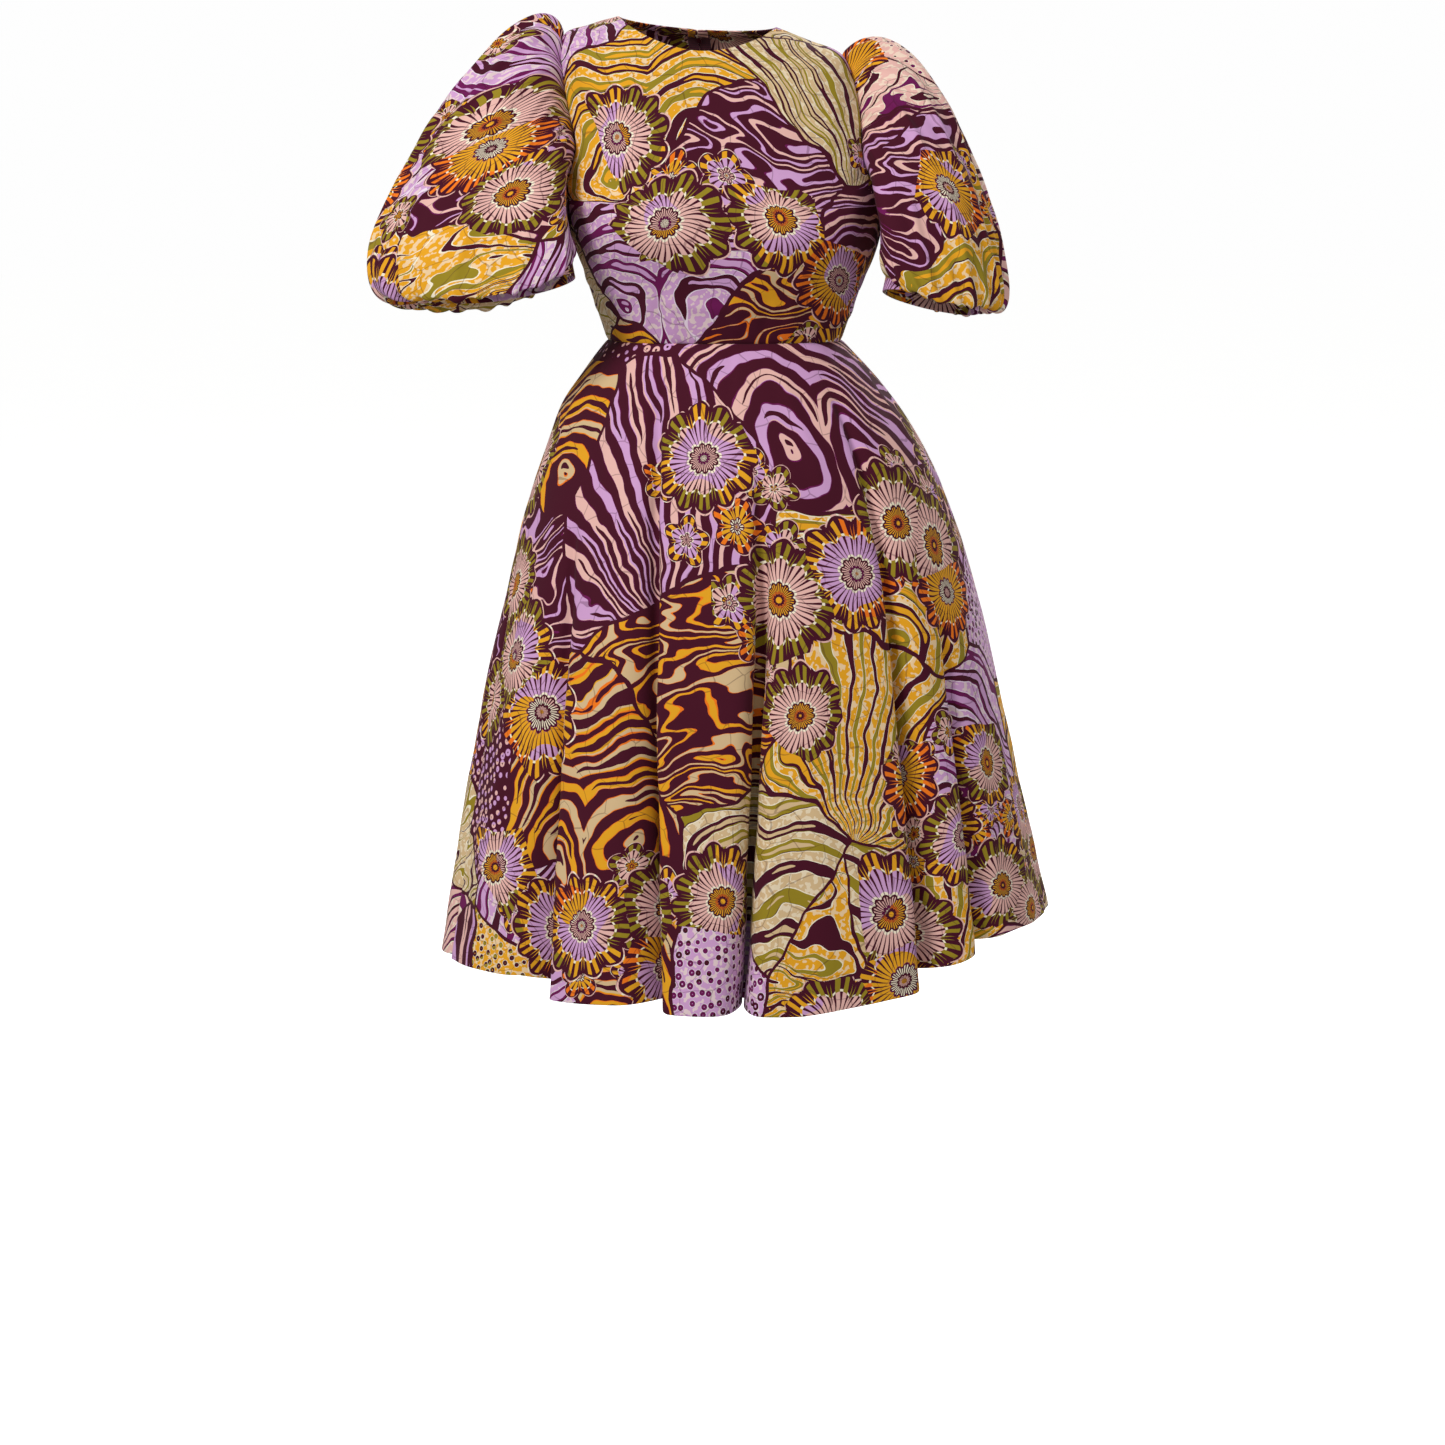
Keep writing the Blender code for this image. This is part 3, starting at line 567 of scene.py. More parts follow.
@dataclass
class Bodice:
    """The bodice's front and two backs."""

    torso: Torso
    front_columns: int = 150
    back_columns: int = 80
    back_opening: float = 0.0016
    length: float = 0.38
    neck_hem: float = 0.009
    allowance: float = 0.010
    front_flat: tuple[float, float] = (0.48, 0.38)
    front_area: float = 0.150
    front_on_print: tuple[float, float] = (2.03, 0.31)
    back_flat: tuple[float, float] = (0.25, 0.38)
    back_area: float = 0.080
    backs_on_print: tuple[float, float] = (2.71, 0.83)
    between_backs: float = 0.37
    crease_strength: float = 1.4
    unevenness: float = 0.00035
    calm_neck: float = 0.03
    armhole_roll: float = 0.0017
    armhole_roll_width: float = 0.0032
    armhole_blend: float = 0.04
    past_tip: float = 0.02
    front_creases: tuple[Crease, ...] = (
        # Drag lines from the bust to the underarm
        Crease(-38, 0.41, -76, 0.50, 1.9, 9, 5),
        Crease(-44, 0.35, -80, 0.40, 1.5, 8, -4),
        Crease(40, 0.42, 77, 0.49, 1.7, 9, -5),
        Crease(47, 0.36, 82, 0.43, 1.2, 7, 3),
        Crease(36, 0.48, 63, 0.60, -1.3, 9, 4),
        Crease(-34, 0.50, -60, 0.61, -1.4, 10, -4),
        # Ease that the waist holds in under the bust
        Crease(-36, 0.04, -30, 0.26, 2.2, 7, 3),
        Crease(-22, 0.02, -20, 0.20, 1.4, 6, -2),
        Crease(-47, 0.02, -44, 0.17, -1.3, 6, 2),
        Crease(31, 0.03, 29, 0.24, 2.0, 7, -3),
        Crease(43, 0.02, 40, 0.18, 1.3, 6, 2),
        Crease(19, 0.02, 17, 0.15, -1.1, 6, 0),
        Crease(6, 0.03, 3, 0.13, 0.8, 6, 2),
        # Folds across the waist, where the wearer bends
        Crease(-84, 0.20, -42, 0.155, 2.1, 6, 6),
        Crease(-86, 0.11, -55, 0.085, 1.6, 5, 4),
        Crease(84, 0.19, 48, 0.145, 1.9, 6, -6),
        Crease(86, 0.10, 58, 0.07, 1.4, 5, -4),
        Crease(-28, 0.135, 22, 0.115, 0.9, 7, 5),
        # Pull between the bust points and from the shoulders
        Crease(-24, 0.40, 22, 0.41, -1.0, 12, 6),
        Crease(-40, 0.66, -60, 0.83, 1.0, 8, 4),
        Crease(-30, 0.62, -44, 0.86, -0.9, 9, 3),
        Crease(40, 0.64, 58, 0.82, 1.1, 8, -4),
        Crease(29, 0.63, 42, 0.88, -0.8, 9, -3),
    )
    back_creases: tuple[Crease, ...] = (
        Crease(100, 0.17, 150, 0.13, 2.0, 6, 6),
        Crease(96, 0.09, 138, 0.06, 1.5, 5, 4),
        Crease(112, 0.26, 158, 0.24, 1.4, 7, -5),
        Crease(128, 0.03, 131, 0.17, 1.3, 6, 2),
        Crease(150, 0.02, 152, 0.13, 1.0, 6, -2),
        Crease(104, 0.50, 132, 0.60, 1.3, 9, 5),
        Crease(101, 0.42, 126, 0.45, -1.1, 9, 4),
        Crease(122, 0.68, 112, 0.84, 1.1, 8, -4),
        Crease(150, 0.70, 138, 0.88, -0.8, 10, 5),
    )

    def radius(self, step: Array) -> Array:
        """Metres of cloth for one radian of turn: the mean of the half width and the depth."""
        return (self.torso.rings.at("half_width", step) + self.torso.rings.at("front_depth", step)) / 2

    def away(self, points: Array) -> Array:
        """Directions out from the upright line through the waist's middle."""
        return away_from_line(points, self.torso.rings.rows[0][1])

    def front(self) -> ClothPanel:
        """The front: rows from side to side, with the armholes as far in as the form gives.

        Returns:
            The shaped panel.
        """
        torso = self.torso
        step = torso.panel_steps()
        edge = QUARTER - torso.armhole(step, torso.front_reach)
        turn = np.linspace(-1, 1, self.front_columns + 1) * edge
        points = torso.at(turn, step)
        across = arc_length(points, 1)
        middle = across[:, self.front_columns // 2][:, None]
        cut = np.stack([across - middle, arc_length(points, 0)], -1)
        panel = ClothPanel(
            "bodice_front_cloth",
            "bodice_front",
            points,
            self.away(points),
            cut + np.array(self.front_on_print),
            flat=self.front_flat,
            held=Hold.HUNG,
            area=self.front_area,
            hangs_from=("bodice_back_left", "bodice_back_right"),
        )
        self.shape(panel, turn, step, self.front_creases, seed=0.6)
        return panel

    def back(self, side: Side) -> ClothPanel:
        """One half back, from its side seam to the folded edge at centre back.

        Args:
            side: which half.

        Returns:
            The shaped panel.
        """
        torso = self.torso
        step = torso.panel_steps()
        opening = self.back_opening / 2 / torso.rings.at("half_width", step)
        edge = QUARTER + torso.armhole(step, torso.back_reach)
        along = np.linspace(0, 1, self.back_columns + 1)
        turn = side.value * (edge + (math.pi - opening - edge) * along)
        points = torso.at(turn, step)
        across = arc_length(points, 1)
        cut = np.stack([side.value * (across[:, -1:] - across), arc_length(points, 0)], -1)
        on_print = np.array(self.backs_on_print) + np.array([self.between_backs * side.value, 0])
        panel = ClothPanel(
            f"bodice_back_{side.word}_cloth",
            f"bodice_back_{side.word}",
            points,
            self.away(points),
            cut + on_print,
            flat=self.back_flat,
            held=Hold.HUNG,
            area=self.back_area,
            hangs_from=("bodice_front",),
        )
        self.shape(panel, turn * side.value, step, self.back_creases, seed=2.1 + side.value)
        return panel

    def shape(
        self, panel: ClothPanel, turn: Array, step: Array, creases: tuple[Crease, ...], seed: float
    ) -> None:
        """Presses the creases in and rolls the seams, most of all at the armholes.

        Args:
            panel: the panel, still smooth.
            turn: its turns in radians.
            step: its steps.
            creases: its creases.
            seed: shifts its slow unevenness.
        """
        lift = pressed(creases, np.degrees(turn), step, self.radius(step), self.length)
        lift = lift + undulation(panel.cut[..., 0], panel.cut[..., 1], self.unevenness, seed)
        down = arc_length(panel.points, 0)
        calm = ease((down[-1:] - down) / self.calm_neck)
        panel.lift(self.crease_strength * lift * calm)
        panel.roll((Edge.FIRST_ROW,), *WAIST_ROLL)
        under, tip = self.torso.underarm_step, self.torso.tip_step
        above = ease((step - under) / self.armhole_blend)
        at_armhole = above * ease((tip + self.past_tip - step) / self.armhole_blend)
        depth = SIDE_ROLL[0] + self.armhole_roll * at_armhole
        panel.roll((Edge.FIRST_COLUMN, Edge.LAST_COLUMN), depth, self.armhole_roll_width)

    def armhole(self, panel: ClothPanel, edge: Edge) -> Array:
        """Points of a panel's armhole edge.

        Args:
            panel: the panel, before its edges are turned in.
            edge: its side edge.

        Returns:
            The points from the underarm to the shoulder tip.
        """
        first = self.torso.side_rows
        last = first + self.torso.armhole_rows
        return panel.points[first : last + 1, 0 if edge is Edge.FIRST_COLUMN else -1]


@dataclass(frozen=True)
class Fold:
    """A deep fold of the skirt: its valley's turn at the waist and at the hem in degrees, depth at
    the hem, half width in degrees, sideways lean, how nearly its flutes close, and where it begins."""

    turn_top: float
    turn_hem: float
    depth: float
    width: float
    lean: float
    pinch: float
    start: float

    def middle(self, step: Array) -> Array:
        """Turn of the valley's middle at a step, in degrees."""
        return self.turn_top + (self.turn_hem - self.turn_top) * step


@dataclass
class FlaredSkirt:
    """The skirt's front and two backs, that fall in deep folds from the waist seam."""

    rings: Profile = Profile(
        ("step", "z", "centre_x", "half_width", "front_depth", "back_depth"),
        (
            (0.00, -0.338, 0.029, 0.128, 0.102, 0.091),
            (0.05, -0.370, 0.032, 0.155, 0.125, 0.115),
            (0.10, -0.404, 0.034, 0.181, 0.148, 0.138),
            (0.16, -0.448, 0.040, 0.204, 0.171, 0.163),
            (0.25, -0.514, 0.044, 0.231, 0.197, 0.190),
            (0.38, -0.603, 0.048, 0.257, 0.222, 0.213),
            (0.51, -0.693, 0.048, 0.279, 0.241, 0.232),
            (0.64, -0.784, 0.049, 0.298, 0.257, 0.247),
            (0.78, -0.875, 0.050, 0.316, 0.271, 0.262),
            (0.92, -0.968, 0.051, 0.332, 0.282, 0.273),
            (1.00, -1.023, 0.051, 0.341, 0.288, 0.280),
        ),
    )
    front_folds: tuple[Fold, ...] = (
        Fold(-78.0, -76.0, 0.036, 4.0, 0.016, 0.40, 0.30),
        Fold(-49.0, -42.5, 0.050, 4.4, 0.023, 0.50, 0.20),
        Fold(-26.0, -18.5, 0.050, 3.2, 0.024, 0.60, -0.05),
        Fold(8.0, -1.0, 0.072, 2.8, 0.004, 0.95, 0.12),
        Fold(40.0, 36.5, 0.054, 3.4, -0.019, 0.50, 0.02),
        Fold(56.0, 49.6, 0.044, 2.7, -0.018, 0.45, 0.34),
    )
    left_folds: tuple[Fold, ...] = (
        Fold(104.0, 103.0, 0.046, 4.2, -0.018, 0.45, 0.16),
        Fold(127.0, 126.0, 0.056, 4.2, 0.022, 0.60, 0.04),
        Fold(151.0, 150.0, 0.050, 4.0, 0.018, 0.50, 0.20),
    )
    right_folds: tuple[Fold, ...] = (
        Fold(-153.0, -153.0, 0.054, 4.2, -0.020, 0.55, 0.10),
        Fold(-130.0, -129.0, 0.048, 4.0, -0.018, 0.50, 0.22),
        Fold(-106.0, -105.0, 0.054, 4.2, 0.020, 0.60, 0.06),
    )
    hem_levels: tuple[tuple[float, float], ...] = (
        (-180, 0.000),
        (-120, 0.006),
        (-90, 0.004),
        (-60, 0.018),
        (-48, 0.022),
        (-37, 0.003),
        (-20, 0.009),
        (-13, 0.001),
        (10, 0.000),
        (31, 0.016),
        (45, 0.046),
        (56, 0.062),
        (90, 0.058),
        (120, 0.030),
        (150, 0.010),
        (180, 0.000),
    )
    waist_squareness: float = 0.05
    squareness: float = 0.02
    hem_lift_power: int = 4
    fold_growth: float = 1.2
    pinch_reach: float = 2.0
    stations: tuple[float, ...] = (-2.1, -1.4, -0.85, -0.4, 0.0, 0.4, 0.85, 1.4, 2.1)
    rows: int = 140
    valley_columns: int = 4
    flute_columns: int = 14
    cut_waist_radius: float = 0.228
    cut_length: float = 0.66
    cut_sector: float = math.radians(193)
    zip_end_step: float = 0.22
    back_opening: float = 0.0016
    closed_seam: float = 0.0001
    hem: float = 0.015
    allowance: float = 0.012
    fall: float = 0.69
    unevenness: float = 0.0004
    waist_blend: float = 0.1
    fold_blend: float = 0.03
    crowding: float = 0.45
    crowding_power: float = 1.6
    valley_delay: float = 0.08
    valley_share: float = 0.16
    valley_width: float = 6.5
    past_hem: float = 1.06
    creases: tuple[Crease, ...] = (
        # Ease from the waist seam
        Crease(-66, 0.01, -68, 0.20, 2.4, 8, 3),
        Crease(-40, 0.01, -38, 0.26, 2.2, 8, -3),
        Crease(-12, 0.01, -10, 0.17, 1.8, 7, 2),
        Crease(22, 0.01, 24, 0.22, 2.0, 8, -3),
        Crease(66, 0.01, 69, 0.24, 2.3, 9, 4),
        Crease(-86, 0.02, -84, 0.15, 1.5, 7, 0),
        Crease(52, 0.01, 50, 0.12, -1.5, 7, 0),
        Crease(2, 0.01, 0, 0.10, -1.2, 6, 0),
        # Softer secondary folds that grow towards the hem
        Crease(-60, 0.42, -60, 1.05, 5.0, 17, 6),
        Crease(-31, 0.55, -29, 1.06, 4.2, 15, -5),
        Crease(-10, 0.62, -9, 1.06, 3.4, 13, 3),
        Crease(16, 0.38, 15, 1.06, 4.6, 17, -6),
        Crease(66, 0.50, 64, 1.06, 5.5, 18, 5),
        Crease(80, 0.64, 79, 1.06, -4.0, 15, -4),
        Crease(-68, 0.68, -67, 1.06, -3.6, 13, 3),
        Crease(25, 0.66, 26, 1.06, -3.4, 12, 0),
        # Short dents where the stiff cloth buckles
        Crease(-38, 0.34, -30, 0.40, -1.8, 12, 3),
        Crease(14, 0.46, 24, 0.50, -1.5, 12, -3),
        Crease(60, 0.30, 70, 0.36, -1.7, 13, 3),
        Crease(-58, 0.52, -66, 0.56, -1.8, 13, 2),
        # The left back: secondary folds, then ease from the waist seam
        Crease(115, 0.44, 115, 1.05, 5.0, 17, 5),
        Crease(139, 0.52, 138, 1.05, 4.2, 15, -4),
        Crease(164, 0.40, 163, 1.05, 4.8, 16, 5),
        Crease(173, 0.60, 174, 1.05, -3.6, 13, 2),
        Crease(95, 0.55, 95, 1.05, 3.8, 14, 3),
        Crease(110, 0.01, 112, 0.18, 2.2, 8, 3),
        Crease(138, 0.01, 137, 0.22, 2.0, 8, -3),
        Crease(160, 0.02, 158, 0.14, 1.6, 7, 2),
        # The right back, in the same order
        Crease(-118, 0.48, -118, 1.05, 5.2, 17, 5),
        Crease(-141, 0.42, -141, 1.05, 4.4, 15, -4),
        Crease(-166, 0.55, -166, 1.05, 4.0, 15, 5),
        Crease(-95, 0.58, -96, 1.05, 3.8, 14, 3),
        Crease(-120, 0.01, -121, 0.20, 2.3, 8, 3),
        Crease(-146, 0.01, -144, 0.16, 1.9, 8, -3),
        Crease(-165, 0.01, -167, 0.23, 1.8, 8, 3),
    )

    @property
    def folds(self) -> tuple[Fold, ...]:
        """All the folds, since each one's edge reaches into the panels beside it."""
        return self.front_folds + self.left_folds + self.right_folds

    def at(self, turn: Array, step: Array) -> Array:
        """Points of the skirt: an ellipse at each step, pushed in by each fold's bell and slid
        sideways by its lean, with the flutes beside it closing over the valley.

        Args:
            turn: turns in radians.
            step: steps from the waist seam to the hem.

        Returns:
            The points, with x, y, z on the last axis.
        """
        turn, step = np.broadcast_arrays(np.asarray(turn, float), np.asarray(step, float))
        sine, cosine = np.sin(turn), np.cos(turn)
        ahead = cosine > 0
        depth = np.where(ahead, self.rings.at("front_depth", step), self.rings.at("back_depth", step))
        half = self.rings.at("half_width", step)
        blend = ease(step / self.waist_blend)
        square = self.waist_squareness + (self.squareness - self.waist_squareness) * blend
        square = 1 + square * np.sin(2 * turn) ** 2
        place = np.stack([half * sine * square, -depth * cosine * square], -1)
        along = unit(np.stack([half * cosine, depth * sine], -1))
        outward = np.stack([along[..., 1], -along[..., 0]], -1)
        reach = np.linalg.norm(place, axis=-1)
        inwards, sideways = np.zeros(turn.shape), np.zeros(turn.shape)
        for fold in self.folds:
            off = (turn - np.radians(fold.middle(step))) / math.radians(fold.width)
            grown = np.clip((step - fold.start) / (1 - fold.start), 0, 1) ** self.fold_growth
            grown = grown * ease(step / self.fold_blend)
            valley = grown * np.exp(-(off**2))
            inwards = inwards + fold.depth * valley
            closing = fold.pinch * grown * off * np.exp(-((off / self.pinch_reach) ** 2))
            sideways = sideways + fold.lean * valley - closing * reach * math.radians(fold.width)
        place = place - outward * inwards[..., None] + along * sideways[..., None]
        levels = np.array(self.hem_levels)
        lift = np.interp(np.degrees(turn), levels[:, 0], levels[:, 1]) * step**self.hem_lift_power
        x = place[..., 0] + self.rings.at("centre_x", step)
        return np.stack([x, place[..., 1], self.rings.at("z", step) + lift], -1)

    def valleys(self) -> tuple[Crease, ...]:
        """A sharper trough along the bottom of each fold, a share of the fold's depth.

        Returns:
            A crease for each fold, from just below the fold's beginning to past the hem.
        """
        made = []
        for fold in self.folds:
            start = max(fold.start, 0.0) + self.valley_delay
            first, last = (fold.middle(step) for step in (start, self.past_hem))
            depth = self.valley_share * fold.depth / MILLIMETRE
            made.append(Crease(first, start, last, self.past_hem, -depth, self.valley_width))
        return tuple(made)

    def columns(self, folds: tuple[Fold, ...], first: Array, last: Array, step: Array) -> Array:
        """Turns of a panel's columns, close together in each fold's valley.

        Stations stand at fixed shares of each valley's width, and the columns between two stations
        are evenly spaced.

        Args:
            folds: the folds in the panel.
            first: turn of its first edge at each step.
            last: turn of its last edge at each step.
            step: the steps, as a column.

        Returns:
            Turns in radians, a row for each step.
        """
        knots, counts = [first], []
        for fold in folds:
            stations = math.radians(fold.width) * np.array(self.stations)
            knots.append(np.radians(fold.middle(step)) + stations)
            counts += [self.flute_columns] + [self.valley_columns] * (len(self.stations) - 1)
        knots = np.concatenate(knots + [last], axis=1)
        counts.append(self.flute_columns)
        between = np.concatenate([np.arange(count) / count + n for n, count in enumerate(counts)])
        between = np.append(between, len(counts))
        low = np.minimum(between.astype(int), len(counts) - 1)
        share = between - low
        return knots[:, low] * (1 - share) + knots[:, low + 1] * share

    def panel(
        self, name: str, folds: tuple[Fold, ...], first: Array, last: Array, middle: float, seed: float
    ) -> ClothPanel:
        """A skirt panel, cut as a sector of a ring, shaped by its folds and turned in at its edges.

        Its place on the cut is polar: the radius grows with the step, and the angle with the length
        of cloth along each row.

        Args:
            name: the panel's node.
            folds: the folds in it.
            first: turn of its first edge at each step.
            last: turn of its last edge at each step.
            middle: angle of its middle on the cut, in radians.
            seed: shifts its slow unevenness and its place on the printed cloth.

        Returns:
            The finished panel.
        """
        step = self.steps()
        turn = self.columns(folds, first, last, step)
        points = self.at(turn, step)
        across = arc_length(points, 1)
        span = self.cut_sector * (last[0, 0] - first[0, 0]) / (2 * math.pi)
        angle = middle + span * (across / across[:, -1:] - 0.5)
        inner, outer = self.cut_waist_radius, self.cut_waist_radius + self.cut_length
        radius = inner + self.cut_length * step
        cut = np.stack([radius * np.sin(angle), -radius * np.cos(angle)], -1)
        width, height = 2 * outer * math.sin(span / 2), outer - inner * math.cos(span / 2)
        panel = ClothPanel(
            f"{name}_cloth",
            name,
            points,
            away_from_line(points, self.rings.rows[-1][2]),
            cut + np.array([0.5 + seed, 1.9 + 1.7 * seed]),
            flat=(round(width, 4), round(height, 4)),
            held=Hold.HUNG,
            area=round(span / 2 * (outer**2 - inner**2), 4),
            hangs_from=("bodice_front", "bodice_back_left", "bodice_back_right"),
        )
        radius_here = (self.rings.at("half_width", step) + self.rings.at("front_depth", step)) / 2
        lift = pressed(self.creases + self.valleys(), np.degrees(turn), step, radius_here, self.fall)
        slow = undulation(cut[..., 0], cut[..., 1], self.unevenness, seed)
        panel.lift(lift + slow * ease(step / self.waist_blend))
        panel.roll((Edge.FIRST_ROW,), *WAIST_ROLL)
        panel.roll((Edge.FIRST_COLUMN, Edge.LAST_COLUMN), *SIDE_ROLL)
        panel.turn_in_all(self.allowance, self.hem)
        return panel

    def steps(self) -> Array:
        """Steps of the rows, closer together near the waist seam, as a column."""
        even = np.linspace(0, 1, self.rows + 1)[:, None]
        return (1 - self.crowding) * even + self.crowding * even**self.crowding_power

    def front(self) -> ClothPanel:
        """The front, from the right side seam to the left."""
        side = np.full_like(self.steps(), QUARTER)
        return self.panel("skirt_front", self.front_folds, -side, side, 0.0, seed=0.35)

    def back(self, side: Side) -> ClothPanel:
        """One back, from its side seam to the centre back, open there down to the zip's end.

        Args:
            side: which half.

        Returns:
            The finished panel.
        """
        step = self.steps()
        gap = np.where(step < self.zip_end_step, self.back_opening, self.closed_seam)
        centre = math.pi - gap / 2 / self.rings.at("half_width", step)
        seam = np.full_like(step, QUARTER)
        eighth = self.cut_sector / 8
        if side is Side.LEFT:
            return self.panel("skirt_back_left", self.left_folds, seam, centre, -eighth, 1.3)
        return self.panel("skirt_back_right", self.right_folds, -centre, -seam, eighth, 2.4)


@dataclass(frozen=True)
class Guide:
    """How the cloth leaves the armhole and falls to the band: out, forwards and up, in metres."""

    leave: tuple[float, float, float]
    fall: tuple[float, float, float]


@dataclass
class PuffSleeve:
    """A puff sleeve, gathered into the armhole at its head and into a narrow band at its cuff."""

    side: Side
    front_edge: Array
    back_edge: Array
    cuff: tuple[float, float, float]
    cuff_radius: float
    side_drop: float
    crown: Guide
    front: Guide
    under: Guide
    back: Guide
    seed: float
    gathers: tuple[Crease, ...]
    front_rise: float = math.radians(10)
    rows: int = 110
    across_count: int = 280
    crowding: float = 0.65
    calm_head: float = 0.007
    calm_cuff: float = 0.006
    allowance: float = 0.008
    band_height: float = 0.015
    band_start: float = 0.0003
    band_rows: int = 9
    band_columns: int = 120
    cut_width: float = 0.62
    cut_length: float = 0.36
    cut_share: float = 0.74
    fall: float = 0.30
    unevenness: float = 0.0007

    def armhole_loop(self) -> tuple[Array, Array]:
        """The bodice's armhole from the shoulder tip down the front and up the back.

        Returns:
            The points of the loop, and the angle of each: the share of the length of its half.
        """
        front, back = self.front_edge[::-1], self.back_edge
        lengths = [arc_length(half, 0) for half in (front, back)]
        shares = [length / length[-1] for length in lengths]
        angle = np.concatenate([math.pi * shares[0][:-1], math.pi * (1 + shares[1])])
        return np.concatenate([front[:-1], back]), angle

    def around(self, end: End, axis: int, angle: Array) -> Array:
        """A guide's size round the sleeve: a smooth wave through its four values.

        The wave is their mean, a cosine and a sine of the angle, and a cosine of twice the angle.

        Args:
            end: which end of the sleeve.
            axis: 0 out, 1 forwards, 2 up.
            angle: angles round the sleeve from the crown.

        Returns:
            The size at each angle.
        """
        guides = (self.crown, self.front, self.under, self.back)
        crown, front, under, back = (getattr(guide, end.value)[axis] for guide in guides)
        twice = (crown + under - front - back) / 4
        wave = (crown - under) / 2 * np.cos(angle) + (front - back) / 2 * np.sin(angle)
        return (crown + front + under + back) / 4 + wave + twice * np.cos(2 * angle)

    def handle(self, end: End, angle: Array) -> Array:
        """Direction and reach of the cloth at the armhole or at the band."""
        out, forward, up = (self.around(end, axis, angle) for axis in range(3))
        return np.stack([self.side.value * out, -forward, up], -1)

    def cuff_axes(self) -> tuple[Array, Array, Array]:
        """Directions of the band: its plane drops towards the arm and rises in front.

        Returns:
            The sideways, forward and downward directions.
        """
        drop, rise = self.side_drop, self.front_rise
        sideways = np.array([self.side.value * math.cos(drop), 0, -math.sin(drop)])
        forward = np.array([0, -math.cos(rise), math.sin(rise)])
        down = unit(np.cross(sideways, forward))
        return sideways, forward, down if down[2] < 0 else -down

    def cuff_ring(self, angle: Array) -> Array:
        """Points of the band's top edge: a circle in the band's own plane.

        Args:
            angle: angles round the band.

        Returns:
            A point for each angle.
        """
        sideways, forward, _ = self.cuff_axes()
        ring = np.cos(angle)[:, None] * sideways + np.sin(angle)[:, None] * forward
        return np.array(self.cuff) + self.cuff_radius * ring

    def cloth(self) -> ClothPanel:
        """The sleeve: a cubic curve from each point of the armhole to the band, then its gathers.

        Its first and last columns meet in the seam under the arm.

        Returns:
            The finished panel.
        """
        loop, loop_angle = self.armhole_loop()
        middle = np.linspace(0, 2 * math.pi, self.across_count + 1)
        start = np.stack([np.interp(middle, loop_angle, loop[:, n]) for n in range(3)], -1)
        rolled = np.roll(np.arange(self.across_count), self.across_count // 2)
        order = np.append(rolled, rolled[0])
        start, angle = start[order], middle[order]
        cuff = self.cuff_ring(angle)
        first = start + self.handle(End.ARMHOLE, angle)
        second = cuff + self.handle(End.BAND, angle)
        even = np.linspace(0, 1, self.rows + 1)
        crowded = (1 - np.cos(math.pi * even)) / 2
        s = (even + self.crowding * (crowded - even))[:, None, None]
        points = (1 - s) ** 3 * start + 3 * (1 - s) ** 2 * s * first
        points = points + 3 * (1 - s) * s**2 * second + s**3 * cuff
        centre = points[:, :-1].mean(axis=1, keepdims=True)
        down, across = arc_length(points, 0), arc_length(points, 1)
        girth = across[:, -1:]
        place = (across / girth - 0.5) * self.cut_width
        cut = np.stack([place * self.side.value, down[-1:] - down], -1)
        word = self.side.word
        panel = ClothPanel(
            f"sleeve_{word}_cloth",
            f"sleeve_{word}",
            points,
            points - centre,
            cut + np.array([3.4 + self.seed, 0.37 + self.seed]),
            flat=(self.cut_width, self.cut_length),
            held=Hold.GATHERED,
            area=round(self.cut_share * self.cut_width * self.cut_length, 4),
            hangs_from=("bodice_front", f"bodice_back_{word}"),
        )
        turn = np.linspace(-180, 180, self.across_count + 1)
        lift = pressed(self.gathers, turn, s[..., 0], girth / (2 * math.pi), self.fall)
        lift = lift + undulation(cut[..., 0], cut[..., 1], self.unevenness, self.seed)
        panel.lift(lift * ease(down / self.calm_head) * ease((down[-1:] - down) / self.calm_cuff))
        panel.roll((Edge.FIRST_COLUMN, Edge.LAST_COLUMN), *SIDE_ROLL)
        panel.turn_in(Edge.FIRST_ROW, self.allowance)
        panel.turn_in(Edge.FIRST_COLUMN, self.allowance)
        panel.turn_in(Edge.LAST_COLUMN, self.allowance)
        return panel

    def band(self) -> ClothPanel:
        """The band: a ring of two layers, with its lower edge folded and its seam under the arm.

        Returns:
            The finished panel.
        """
        angle = np.linspace(math.pi, 3 * math.pi, self.band_columns + 1)
        down = self.cuff_axes()[2]
        depth = np.linspace(self.band_start, self.band_height, self.band_rows + 1)[:, None, None]
        points = self.cuff_ring(angle) + depth * down
        centre = points[:, :-1].mean(axis=1, keepdims=True)
        place = np.broadcast_to((angle - 2 * math.pi) * self.cuff_radius, points.shape[:2])
        cut = np.stack([place, np.broadcast_to(-depth[..., 0], points.shape[:2])], -1)
        girth = 2 * math.pi * self.cuff_radius
        word = self.side.word
        panel = ClothPanel(
            f"sleeve_band_{word}_cloth",
            f"sleeve_band_{word}",
            points,
            points - centre,
            cut + np.array([1.7, 3.1 + self.seed]),
            flat=(round(girth, 4), 2 * self.band_height),
            held=Hold.STRETCHED,
            area=round(1.98 * girth * self.band_height, 5),
            hangs_from=(f"sleeve_{word}",),
        )
        panel.turn_in(Edge.LAST_ROW, self.band_height - 0.002, sewn=True)
        return panel


